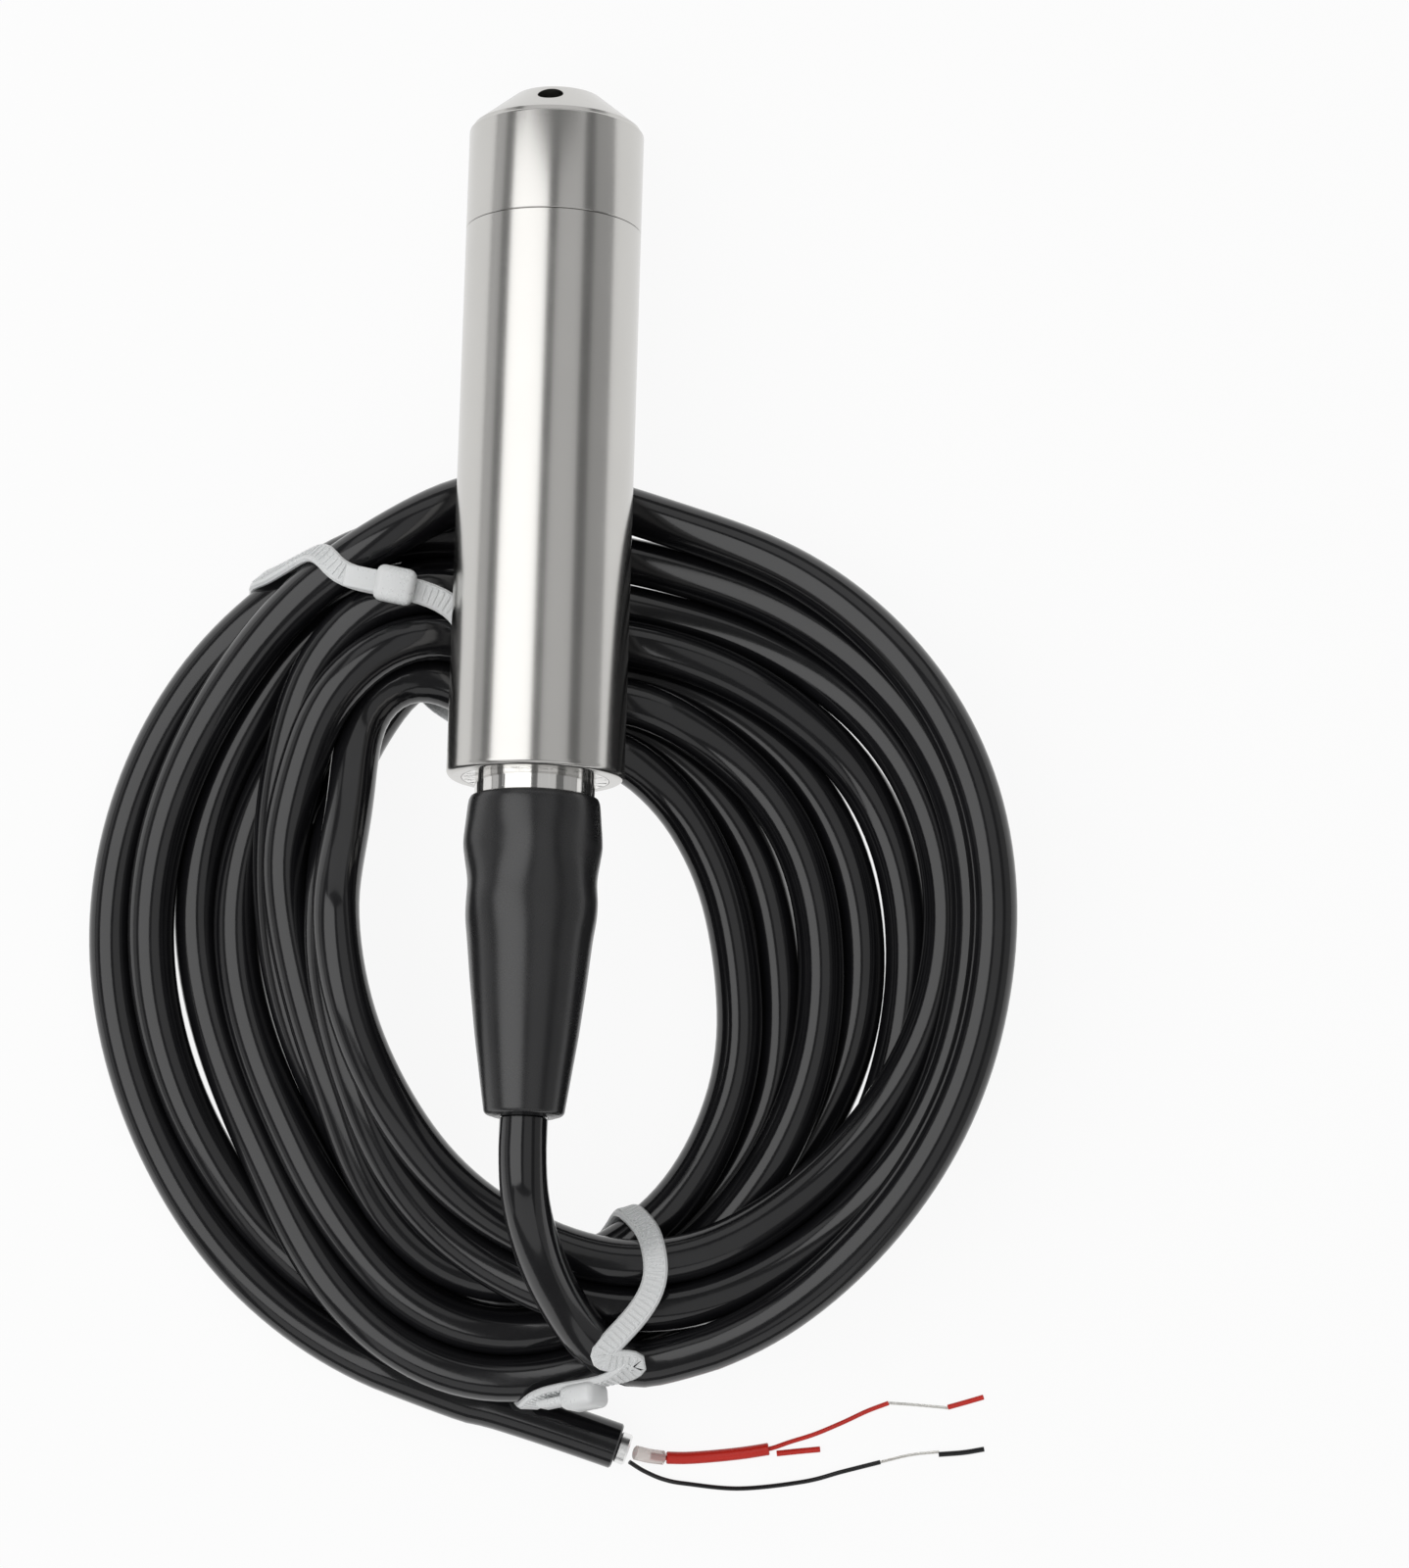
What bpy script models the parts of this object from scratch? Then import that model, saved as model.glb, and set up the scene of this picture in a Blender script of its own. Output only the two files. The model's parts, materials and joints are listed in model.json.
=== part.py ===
"""Submersible level transmitter: a stainless probe with a vented cable wound in a tied coil.

The probe is modelled along its own axis and hung on one empty, which lays it nose down
over the coil. Run with: blender --background --python part.py
"""
import bmesh
import bpy
import numpy as np
from math import cos, exp, pi, radians, sin, sqrt, tau
from mathutils import Matrix, Vector

MM = 0.001

# Fits and fineness
GAP = 0.3 * MM                      # clearance between pieces that touch
STEPS = 48                          # facets round a large turned piece
SMALL_STEPS = 24                    # facets round a small turned piece
ROUTE_STEPS = 20                    # curve samples between two points of a route

# Probe as it lies: nose rim on the floor, body over the coil
TILT = radians(10.3)

# Steel body, measured back from the nose shoulder
BODY_DIAMETER = 26.0 * MM
BODY_LENGTH = 98.0 * MM
NOSE_EDGE = 0.4 * MM                # rounding of the nose shoulder
TAIL_EDGE = 1.0 * MM                # rounding of the tail edge
WALL = 2.2 * MM

# Nose cap
CAP_LENGTH = 15.0 * MM
CONE_HEIGHT = 5.3 * MM
CONE_SHOULDER = 0.5 * MM            # steep step between shoulder and cone
CONE_STEP_IN = 0.125 * MM           # how far that step leans in
FACE_DIAMETER = 13.4 * MM
INLET_DIAMETER = 4.4 * MM
DRAIN_DIAMETER = 3.8 * MM
DRAIN_COUNT = 4
DRAIN_RADIUS = 8.9 * MM             # where each drain hole leaves the cone
DRAIN_TURN = radians(95.6)          # the first drain hole, from +X towards the top
DRAIN_REACH = 11.7 * MM             # length of the drill that opens the drain into the chamber
CHAMBER_DIAMETER = 18.0 * MM
CHAMBER_DEPTH = 5.4 * MM
CAP_FLOOR = 0.9 * MM                # start of the chamber behind the shoulder
SPIGOT_DIAMETER = 22.6 * MM         # front of the tube, inside the cap

# Pressure capsule
CAPSULE_DIAMETER = 19.0 * MM
CAPSULE_LENGTH = 6.2 * MM
CAPSULE_FRONT_WALL = 1.5 * MM
WELD_RING_WIDTH = 1.1 * MM
WELD_RING_DEPTH = 0.8 * MM
DIAPHRAGM_THICKNESS = 0.3 * MM
CORRUGATION_DEPTH = 0.2 * MM
CORRUGATIONS = 4
OIL_PORT_DIAMETER = 2.0 * MM
HEADER_DIAMETER = 10.0 * MM
HEADER_THICKNESS = 2.2 * MM
HEADER_SETBACK = 0.5 * MM
CHIP_SIDE = 2.6 * MM
CHIP_THICKNESS = 0.8 * MM
PIN_COUNT = 5
PIN_DIAMETER = 0.6 * MM
PIN_CIRCLE = 6.0 * MM
PIN_TAIL = 4.0 * MM
BACKING_LENGTH = 4.0 * MM
BACKING_WIDTH = 2.1 * MM
WEB_THICKNESS = 2.0 * MM
WEB_BORE = 17.0 * MM
SEAL_CORD = 1.3 * MM                # thickness of the O-rings
SEAL_GROOVE = 2.4 * MM

# Electronics
SLEEVE_WALL = 0.5 * MM
SLEEVE_ROOM = 3.0 * MM              # from the sleeve's ends to the web and to the gland
HEADER_WIRE_ROOM = 12.0 * MM        # from the pins to the board's front edge
SUPPLY_WIRE_ROOM = 7.0 * MM         # from the board's back edge to the gland
BOARD_THICKNESS = 1.6 * MM
WIRE_DIAMETER = 0.8 * MM
WIRE_LAP = 3.0 * MM                 # how far a wire lies over its pad
WIRE_PITCH = 2.4                    # wire points, in diameters
AMPLIFIER_SIZE = (7.0 * MM, 1.8 * MM, 9.0 * MM)
AMPLIFIER_PLACE = 14.0 * MM         # middle of each item behind the board's front edge
ARRESTER_DIAMETER = 5.0 * MM
ARRESTER_LENGTH = 6.0 * MM
ARRESTER_INSET = 14.0 * MM          # middle of the item in front of the board's back edge
CAPACITOR_SIZE = (2.4 * MM, 1.5 * MM, 3.4 * MM)
CAPACITOR_COUNT = 3
CAPACITOR_PLACE = 24.0 * MM
CAPACITOR_PITCH = 5.0 * MM
TERMINAL_DIAMETER = 1.4 * MM
TERMINAL_HEIGHT = 2.6 * MM
TERMINAL_SPREAD = 8.0 * MM
TERMINAL_INSET = 3.0 * MM           # middle of the posts in front of the board's back edge

# Cable gland behind the body
FLANGE_LENGTH = 7.0 * MM
NECK_DIAMETER = 17.6 * MM
NECK_LENGTH = 2.4 * MM
COLLAR_DIAMETER = 16.0 * MM
COLLAR_LENGTH = 2.6 * MM
STUB_DIAMETER = 12.4 * MM
STUB_LENGTH = 11.0 * MM
GROMMET_LENGTH = 5.4 * MM
GROMMET_WALL = 1.1 * MM
WASHER_THICKNESS = 1.0 * MM
NUT_FLATS = 14.0 * MM
NUT_WALL_BEHIND = 2.4 * MM
NUT_FRONT = 1.0 * MM                # start of the nut behind the gland collar

# Moulded boot over the gland: distance behind its mouth, radius
BOOT_OUTLINE = [
    (0.0 * MM, 8.9 * MM), (0.9 * MM, 9.6 * MM), (6.4 * MM, 9.9 * MM), (9.0 * MM, 9.7 * MM),
    (12.4 * MM, 9.4 * MM), (15.6 * MM, 9.55 * MM), (18.0 * MM, 9.5 * MM), (21.2 * MM, 9.1 * MM),
    (26.9 * MM, 8.5 * MM), (31.0 * MM, 8.0 * MM), (35.0 * MM, 7.5 * MM), (39.0 * MM, 6.9 * MM),
    (43.0 * MM, 6.3 * MM), (45.6 * MM, 5.9 * MM), (46.7 * MM, 5.1 * MM)]
BOOT_BORE = 16.8 * MM
BOOT_TAPER = 8.0 * MM               # length over which the bore closes on the cable

# Cable
CABLE_DIAMETER = 7.0 * MM
SHEATH_INSIDE = 5.5 * MM            # how far the sheath reaches into the body's tail
VENT_DIAMETER = 1.8 * MM
VENT_REACH = 20.0 * MM

# Coil: plan centre, then edges and top heights in millimetres at every 30 degrees from +X
COIL_CENTRE = (2.0 * MM, -50.3 * MM)
COIL_INNER = [24.1, 23.3, 26.1, 33.0, 42.0, 32.6, 28.0, 27.5, 32.0, 41.2, 41.9, 29.8]
COIL_OUTER = [68.6, 71.0, 69.3, 64.2, 65.3, 68.3, 68.0, 68.9, 69.0, 66.4, 66.5, 67.4]
COIL_INNER_TOP = [9.0, 9.0, 10.0, 13.5, 19.0, 23.0, 26.0, 25.0, 22.0, 19.0, 17.5, 11.0]
COIL_OUTER_TOP = [24.0, 21.0, 15.0, 9.2, 10.0, 9.0, 8.5, 8.5, 9.0, 12.0, 16.5, 22.0]
COIL_AROUND = 64
COIL_SECTION = 16
COIL_SQUARENESS = 0.62              # 1 is an elliptical section, 0 a box

# Cable ties: middle, sway across the bundle, and lean, in degrees round the coil
TIE_WIDTH = 3.6 * MM
TIE_THICKNESS = 1.2 * MM
TIE_CLEARANCE = 0.5 * MM
TIE_STEPS = 32
TIE_LIFT = 1.9 * MM                 # the coil stands off the floor by its ties
TIE_LIFT_SPAN = radians(24.0)
TIE_LIFT_PEAK = 1.6                 # above 1, so that the lift is full across the whole tie
TIE_FRAME_STEP = 0.05               # radians between the points that give a tie's direction
TIE_HEAD = (6.0 * MM, 5.4 * MM, 3.8 * MM)
TIE_TONGUE = (3.0 * MM, 5.0 * MM, 1.2 * MM)
TONGUE_REACH = 4.05 * MM            # middle of the tongue from the middle of the head
TOP_TIE = (119.5, 8.5, -11.0, 68.0)         # last value: where the head sits on the section
BOTTOM_TIE = (279.5, -9.5, 6.5, 42.0)

# Routes of the cable where it is not coiled
LEAD_IN_STRAIGHT = 5.0 * MM
LEAD_IN_POINTS = [
    (0.4 * MM, -86.2 * MM, 38.9 * MM), (1.6 * MM, -92.2 * MM, 35.6 * MM),
    (3.6 * MM, -98.2 * MM, 31.0 * MM), (6.4 * MM, -103.8 * MM, 26.3 * MM),
    (10.0 * MM, -108.8 * MM, 22.7 * MM), (14.2 * MM, -111.8 * MM, 20.9 * MM),
    (18.6 * MM, -112.4 * MM, 20.4 * MM)]
TAIL_POINTS = [
    (-9.2 * MM, -120.4 * MM, 3.5 * MM), (-5.0 * MM, -121.3 * MM, 3.5 * MM),
    (0.0 * MM, -122.7 * MM, 3.5 * MM), (5.0 * MM, -124.2 * MM, 3.5 * MM),
    (9.8 * MM, -125.7 * MM, 3.5 * MM), (14.2 * MM, -127.1 * MM, 3.5 * MM)]
ROUTE_PITCH = 0.9                   # cable points, in diameters: its bends here are short
LEAD_PITCH = 4.0                    # points of the thin leads, in diameters
THICK_TUBE = 4.0 * MM               # tubes above this diameter get a finer section

# Stripped end of the cable
COLLAR_END_DIAMETER = 4.8 * MM
COLLAR_END_LENGTH = 1.8 * MM
CLEAR_TUBE_DIAMETER = 2.2 * MM
CLEAR_TUBE_POINTS = [
    (16.9 * MM, -128.0 * MM, 3.1 * MM), (19.2 * MM, -128.6 * MM, 2.2 * MM),
    (21.3 * MM, -128.9 * MM, 1.5 * MM)]
RED_SLEEVE_DIAMETER = 1.9 * MM
RED_SLEEVE_POINTS = [
    (21.7 * MM, -128.9 * MM, 1.4 * MM), (24.8 * MM, -128.9 * MM, 1.05 * MM),
    (29.0 * MM, -128.5 * MM, 1.0 * MM), (33.4 * MM, -127.9 * MM, 1.0 * MM),
    (37.2 * MM, -127.2 * MM, 1.0 * MM)]
LEAD_DIAMETER = 0.7 * MM
STRAND_DIAMETER = 0.5 * MM
SLUG_DIAMETER = 0.8 * MM
RED_LEAD_POINTS = [
    (37.6 * MM, -126.8 * MM, 1.0 * MM), (40.4 * MM, -126.1 * MM, 0.6 * MM),
    (44.2 * MM, -124.8 * MM, 0.45 * MM), (48.4 * MM, -122.9 * MM, 0.45 * MM),
    (52.0 * MM, -121.1 * MM, 0.45 * MM), (55.2 * MM, -119.8 * MM, 0.45 * MM)]
RED_STRAND_POINTS = [
    (55.9 * MM, -119.7 * MM, 0.4 * MM), (59.4 * MM, -120.0 * MM, 0.35 * MM),
    (63.6 * MM, -120.3 * MM, 0.4 * MM)]
RED_SLUG_POINTS = [
    (64.3 * MM, -120.2 * MM, 0.5 * MM), (66.8 * MM, -119.4 * MM, 0.5 * MM),
    (69.6 * MM, -118.5 * MM, 0.5 * MM)]
RED_TIP_DIAMETER = 0.9 * MM
RED_TIP_POINTS = [
    (38.4 * MM, -127.9 * MM, 0.7 * MM), (41.6 * MM, -127.5 * MM, 0.55 * MM),
    (45.0 * MM, -127.1 * MM, 0.5 * MM)]
BLACK_LEAD_POINTS = [
    (16.1 * MM, -129.5 * MM, 2.7 * MM), (18.4 * MM, -131.0 * MM, 1.6 * MM),
    (21.4 * MM, -132.3 * MM, 0.7 * MM), (24.9 * MM, -132.9 * MM, 0.45 * MM),
    (33.0 * MM, -133.4 * MM, 0.45 * MM), (42.6 * MM, -132.1 * MM, 0.45 * MM),
    (48.5 * MM, -130.4 * MM, 0.45 * MM), (54.2 * MM, -128.8 * MM, 0.45 * MM)]
BLACK_STRAND_POINTS = [
    (54.9 * MM, -128.6 * MM, 0.4 * MM), (58.8 * MM, -127.6 * MM, 0.35 * MM),
    (62.3 * MM, -126.9 * MM, 0.4 * MM)]
BLACK_SLUG_POINTS = [
    (63.0 * MM, -127.4 * MM, 0.5 * MM), (66.8 * MM, -127.0 * MM, 0.5 * MM),
    (69.9 * MM, -126.4 * MM, 0.5 * MM)]

# Sizes that follow from the ones above
BODY_RADIUS = BODY_DIAMETER / 2
BORE_RADIUS = BODY_RADIUS - WALL
SEAT_RADIUS = CAPSULE_DIAMETER / 2 + GAP
CAP_STOP = CAP_FLOOR + CHAMBER_DEPTH
TUBE_FRONT = CAP_STOP + GAP
WELD_FRONT = TUBE_FRONT
DIAPHRAGM_FRONT = WELD_FRONT + WELD_RING_DEPTH + GAP
CAPSULE_FRONT = DIAPHRAGM_FRONT + DIAPHRAGM_THICKNESS + GAP
CAPSULE_BACK = CAPSULE_FRONT + CAPSULE_LENGTH
HEADER_BACK = CAPSULE_BACK - HEADER_SETBACK
HEADER_FRONT = HEADER_BACK - HEADER_THICKNESS
BACKING_FRONT = CAPSULE_BACK + GAP
WEB_FRONT = BACKING_FRONT + BACKING_LENGTH + GAP
WEB_BACK = WEB_FRONT + WEB_THICKNESS
PIN_BACK = HEADER_BACK + PIN_TAIL
SLEEVE_RADIUS = BORE_RADIUS - GAP
BOARD_HALF = BOARD_THICKNESS / 2
BOARD_WIDTH = 2 * sqrt((SLEEVE_RADIUS - SLEEVE_WALL - GAP) ** 2 - BOARD_HALF ** 2)
CABLE_RADIUS = CABLE_DIAMETER / 2
CABLE_HOLE = CABLE_RADIUS + GAP
FLANGE_FRONT = BODY_LENGTH - FLANGE_LENGTH
SLEEVE_FRONT = WEB_BACK + SLEEVE_ROOM
SLEEVE_BACK = FLANGE_FRONT - SLEEVE_ROOM
BOARD_FRONT = PIN_BACK + HEADER_WIRE_ROOM
BOARD_BACK = FLANGE_FRONT - SUPPLY_WIRE_ROOM
TERMINAL_PLACE = BOARD_BACK - TERMINAL_INSET
FLANGE_RADIUS = BORE_RADIUS - GAP
NECK_BACK = BODY_LENGTH + NECK_LENGTH
COLLAR_BACK = NECK_BACK + COLLAR_LENGTH
STUB_BACK = COLLAR_BACK + STUB_LENGTH
GROMMET_RADIUS = CABLE_HOLE + GROMMET_WALL
GROMMET_BACK = STUB_BACK - GAP
GROMMET_FRONT = GROMMET_BACK - GROMMET_LENGTH
WASHER_FRONT = STUB_BACK + GAP
WASHER_BACK = WASHER_FRONT + WASHER_THICKNESS
NUT_STOP = WASHER_BACK + GAP
NUT_BACK = NUT_STOP + NUT_WALL_BEHIND
BOOT_FRONT = NECK_BACK + GAP
BOOT_BACK = BOOT_FRONT + BOOT_OUTLINE[-1][0]
SHEATH_FRONT = BODY_LENGTH - SHEATH_INSIDE

AXIS = Vector((0.0, -cos(TILT), sin(TILT)))
UPWARD = Vector((0.0, sin(TILT), cos(TILT)))


def shoulder_place():
    """Centre of the nose shoulder, with the box of the probe centred on the origin."""
    nose_reach = CONE_HEIGHT * cos(TILT) + FACE_DIAMETER / 2 * sin(TILT)
    tail_reach = BOOT_BACK * cos(TILT) + BOOT_OUTLINE[-1][1] * sin(TILT)
    height = (BODY_RADIUS - NOSE_EDGE) * cos(TILT) + NOSE_EDGE - NOSE_EDGE * sin(TILT)
    return Vector((0.0, (tail_reach - nose_reach) / 2, height))


SHOULDER = shoulder_place()


def on_axis(distance):
    """World place of a point on the probe's axis, a distance behind the shoulder."""
    return SHOULDER + AXIS * distance


def under_body(x, y):
    """Height of the underside of the steel body over a floor point, or None beside it."""
    if abs(x) >= BODY_RADIUS:
        return None
    drop = sqrt(BODY_RADIUS ** 2 - x ** 2) / cos(TILT)
    return SHOULDER.z + (SHOULDER.y - y) * sin(TILT) / cos(TILT) - drop


# Scene and small helpers

def clear_scene():
    """Remove every object that the file already holds."""
    for item in list(bpy.data.objects):
        bpy.data.objects.remove(item, do_unlink=True)


def collection(name):
    """Make a collection linked to the scene."""
    made = bpy.data.collections.new(name)
    bpy.context.scene.collection.children.link(made)
    return made


def finish(name, colour, roughness, metallic=0.0, alpha=1.0):
    """Principled material of one colour, roughness and metallic value."""
    made = bpy.data.materials.new(name)
    made.use_nodes = True
    shader = made.node_tree.nodes["Principled BSDF"]
    shader.inputs["Base Color"].default_value = (*colour, 1.0)
    shader.inputs["Roughness"].default_value = roughness
    shader.inputs["Metallic"].default_value = metallic
    shader.inputs["Alpha"].default_value = alpha
    return made


STEEL = ((0.78, 0.77, 0.74), 0.22, 1.0)
BRIGHT_STEEL = ((0.84, 0.83, 0.80), 0.12, 1.0)
PLATED = ((0.80, 0.70, 0.40), 0.30, 1.0)
TINNED = ((0.75, 0.74, 0.70), 0.35, 1.0)
BLACK_RUBBER = ((0.02, 0.02, 0.022), 0.45)
BLACK_JACKET = ((0.018, 0.018, 0.020), 0.30)
CLEAR_NYLON = ((0.86, 0.88, 0.88), 0.35)
RED_PLASTIC = ((0.62, 0.03, 0.02), 0.40)
GLASS_SEAL = ((0.10, 0.14, 0.12), 0.15)
BOARD_GREEN = ((0.02, 0.16, 0.06), 0.45)
CHIP_BLACK = ((0.03, 0.03, 0.03), 0.50)
CERAMIC = ((0.80, 0.76, 0.66), 0.50)


def add(name, data, look, parent=None):
    """Put a mesh or curve in the model under its node name, with its own material."""
    made = bpy.data.objects.new(name, data)
    PARTS.objects.link(made)
    made.data.materials.append(finish(name + "_finish", *look))
    made.parent = parent
    return made


def smooth_round(mesh):
    """Shade a turned mesh smooth, with its real edges kept sharp."""
    mesh.shade_smooth()
    mesh.set_sharp_from_angle(angle=radians(30))


def turned(name, outline, look, steps=STEPS, parent=None):
    """Turn an outline of (radius, distance) points about the local Z axis.

    The outline runs down the outside from the tail end to the nose end, then back along
    the bore. One that starts and ends on the axis gives a solid without a bore.
    """
    solid = outline[0][0] == 0.0
    mesh = bpy.data.meshes.new(name)
    points = [(radius, 0.0, distance) for radius, distance in outline]
    edges = [(i, i + 1) for i in range(len(points) - 1)]
    if not solid:
        edges.append((len(points) - 1, 0))
    mesh.from_pydata(points, edges, [])
    made = add(name, mesh, look, parent)
    screw = made.modifiers.new("turn", "SCREW")
    screw.axis = "Z"
    screw.angle = tau
    screw.steps = steps
    screw.render_steps = steps
    screw.use_merge_vertices = True
    screw.merge_threshold = 0.00001
    return made


def box_mesh(name, size, place=(0.0, 0.0, 0.0)):
    """Mesh of a box of a size centred on a place."""
    form = bmesh.new()
    bmesh.ops.create_cube(form, size=1.0)
    bmesh.ops.scale(form, vec=size, verts=form.verts)
    bmesh.ops.translate(form, vec=place, verts=form.verts)
    mesh = bpy.data.meshes.new(name)
    form.to_mesh(mesh)
    form.free()
    return mesh


def block(name, size, place, look, parent=None):
    """Box of a size centred on a place."""
    return add(name, box_mesh(name, size, place), look, parent)


def rod(name, radius, length, place, look, parent=None, steps=12, turn=None):
    """Cylinder along local Z, or turned by a matrix, centred on a place."""
    form = bmesh.new()
    bmesh.ops.create_cone(form, cap_ends=True, segments=steps, radius1=radius,
                          radius2=radius, depth=length, matrix=turn or Matrix())
    bmesh.ops.translate(form, vec=place, verts=form.verts)
    mesh = bpy.data.meshes.new(name)
    form.to_mesh(mesh)
    form.free()
    smooth_round(mesh)
    return add(name, mesh, look, parent)


def cutter(name, mesh, matrix, parent=None):
    """Hidden solid that a Boolean modifier takes away or joins."""
    made = bpy.data.objects.new(name, mesh)
    CUTTERS.objects.link(made)
    made.hide_render = True
    made.display_type = "WIRE"
    made.parent = parent
    made.matrix_local = matrix
    return made


def boolean(target, tool, operation="DIFFERENCE"):
    """Cut one object by another, or join them, with the exact solver."""
    modifier = target.modifiers.new(tool.name, "BOOLEAN")
    modifier.operation = operation
    modifier.solver = "EXACT"
    modifier.object = tool


def cone_mesh(name, radius, length, steps):
    """Mesh of a plain cylinder about the local Z axis."""
    form = bmesh.new()
    bmesh.ops.create_cone(form, cap_ends=True, segments=steps, radius1=radius,
                          radius2=radius, depth=length)
    mesh = bpy.data.meshes.new(name)
    form.to_mesh(mesh)
    form.free()
    return mesh


def smooth_route(points, pitch):
    """Points at an even pitch on a smooth curve through the points of a route."""
    route = [Vector(p) for p in points]
    ends = [2 * route[0] - route[1], 2 * route[-1] - route[-2]]
    route = [ends[0]] + route + [ends[1]]
    dense = []
    for before, start, end, after in zip(route, route[1:], route[2:], route[3:]):
        for step in range(ROUTE_STEPS):
            t = step / ROUTE_STEPS
            dense.append(0.5 * (2 * start + (end - before) * t
                                + (2 * before - 5 * start + 4 * end - after) * t ** 2
                                + (3 * start - before - 3 * end + after) * t ** 3))
    dense.append(route[-2])
    line = np.array([tuple(p) for p in dense])
    walked = np.concatenate(([0.0], np.cumsum(np.linalg.norm(np.diff(line, axis=0), axis=1))))
    count = max(4, round(walked[-1] / pitch) + 1)
    stops = np.linspace(0.0, walked[-1], count)
    return np.column_stack([np.interp(stops, walked, line[:, axis]) for axis in range(3)])


def tube(name, points, diameter, look, pitch=None, parent=None):
    """Round tube with closed ends along a smooth route."""
    line = smooth_route(points, pitch or ROUTE_PITCH * diameter)
    curve = bpy.data.curves.new(name, "CURVE")
    curve.dimensions = "3D"
    curve.bevel_depth = diameter / 2
    curve.bevel_resolution = 3 if diameter > THICK_TUBE else 2
    curve.use_fill_caps = True
    spline = curve.splines.new("POLY")
    spline.points.add(len(line) - 1)
    for point, place in zip(spline.points, line):
        point.co = (*place, 1.0)
    return add(name, curve, look, parent)


def torus_ring(name, ring_radius, cord_radius, distance, look, parent):
    """O-ring about the probe's axis, at a distance behind the shoulder."""
    outline = []
    for index in range(12):
        angle = -index * tau / 12
        outline.append((ring_radius + cord_radius * cos(angle),
                        distance + cord_radius * sin(angle)))
    return turned(name, outline, look, SMALL_STEPS, parent)


# Probe

def make_probe_axis():
    """Empty that lays the probe down: its local Z runs from the nose to the tail."""
    made = bpy.data.objects.new("probe_axis", None)
    PARTS.objects.link(made)
    made.location = SHOULDER
    made.rotation_euler = (pi / 2 - TILT, 0.0, 0.0)
    return made


def make_nose_cap(axis):
    """Turned cap with a central inlet and drain holes through its cone."""
    corner = BODY_RADIUS - NOSE_EDGE
    chamber = CHAMBER_DIAMETER / 2
    skirt = SPIGOT_DIAMETER / 2 + GAP
    inlet = INLET_DIAMETER / 2
    outline = [(BODY_RADIUS, CAP_LENGTH), (BODY_RADIUS, NOSE_EDGE)]
    for index in range(1, 4):
        angle = index * pi / 6
        outline.append((corner + NOSE_EDGE * cos(angle), NOSE_EDGE * (1 - sin(angle))))
    outline += [(corner - CONE_STEP_IN, -CONE_SHOULDER),
                (FACE_DIAMETER / 2, -CONE_HEIGHT), (inlet, -CONE_HEIGHT),
                (inlet, CAP_FLOOR), (chamber, CAP_FLOOR), (chamber, CAP_STOP),
                (skirt, CAP_STOP), (skirt, CAP_LENGTH)]
    cap = turned("nose_cap", outline, STEEL, STEPS, axis)
    slope = Vector((CONE_HEIGHT - CONE_SHOULDER, 0.0,
                    -(corner - FACE_DIAMETER / 2))).normalized()
    share = (corner - DRAIN_RADIUS) / (corner - FACE_DIAMETER / 2)
    depth = -CONE_SHOULDER - share * (CONE_HEIGHT - CONE_SHOULDER)
    for index in range(DRAIN_COUNT):
        mesh = cone_mesh(f"drain_{index + 1}", DRAIN_DIAMETER / 2, DRAIN_REACH, 20)
        aim = Vector((0, 0, 1)).rotation_difference(slope).to_matrix().to_4x4()
        place = Matrix.Translation((DRAIN_RADIUS, 0.0, depth))
        spin = Matrix.Rotation(DRAIN_TURN + index * tau / DRAIN_COUNT, 4, "Z")
        tool = cutter(f"drain_{index + 1}", mesh, spin @ place @ aim, axis)
        boolean(cap, tool)


def make_housing(axis):
    """Steel tube with the capsule seat at its front and the gland's bore at its back."""
    spigot = SPIGOT_DIAMETER / 2
    corner = BODY_RADIUS - TAIL_EDGE
    outline = [(BORE_RADIUS, BODY_LENGTH), (corner, BODY_LENGTH)]
    for index in range(1, 4):
        angle = pi / 2 - index * pi / 6
        outline.append((corner + TAIL_EDGE * cos(angle),
                        BODY_LENGTH - TAIL_EDGE * (1 - sin(angle))))
    shoulder = CAP_LENGTH + GAP
    outline += [(BODY_RADIUS, shoulder), (spigot, shoulder), (spigot, TUBE_FRONT),
                (SEAT_RADIUS, TUBE_FRONT), (SEAT_RADIUS, WEB_FRONT),
                (WEB_BORE / 2, WEB_FRONT), (WEB_BORE / 2, WEB_BACK),
                (BORE_RADIUS, WEB_BACK)]
    turned("housing_tube", outline, STEEL, STEPS, axis)


def make_diaphragm(axis):
    """Thin corrugated disc and the ring that holds its rim."""
    rim = CAPSULE_DIAMETER / 2
    inner = rim - WELD_RING_WIDTH
    turned("diaphragm_weld_ring",
           [(rim, WELD_FRONT + WELD_RING_DEPTH), (rim, WELD_FRONT), (inner, WELD_FRONT),
            (inner, WELD_FRONT + WELD_RING_DEPTH)], STEEL, SMALL_STEPS * 2, axis)
    waves = 2 * CORRUGATIONS
    front = [(0.0, DIAPHRAGM_FRONT)]
    for index in range(1, waves + 1):
        rise = CORRUGATION_DEPTH if index % 2 else 0.0
        front.append((inner * index / (waves + 1), DIAPHRAGM_FRONT - rise))
    front.append((rim, DIAPHRAGM_FRONT))
    back = [(radius, distance + DIAPHRAGM_THICKNESS) for radius, distance in front]
    turned("isolating_diaphragm", back + front[::-1], BRIGHT_STEEL, SMALL_STEPS, axis)


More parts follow.
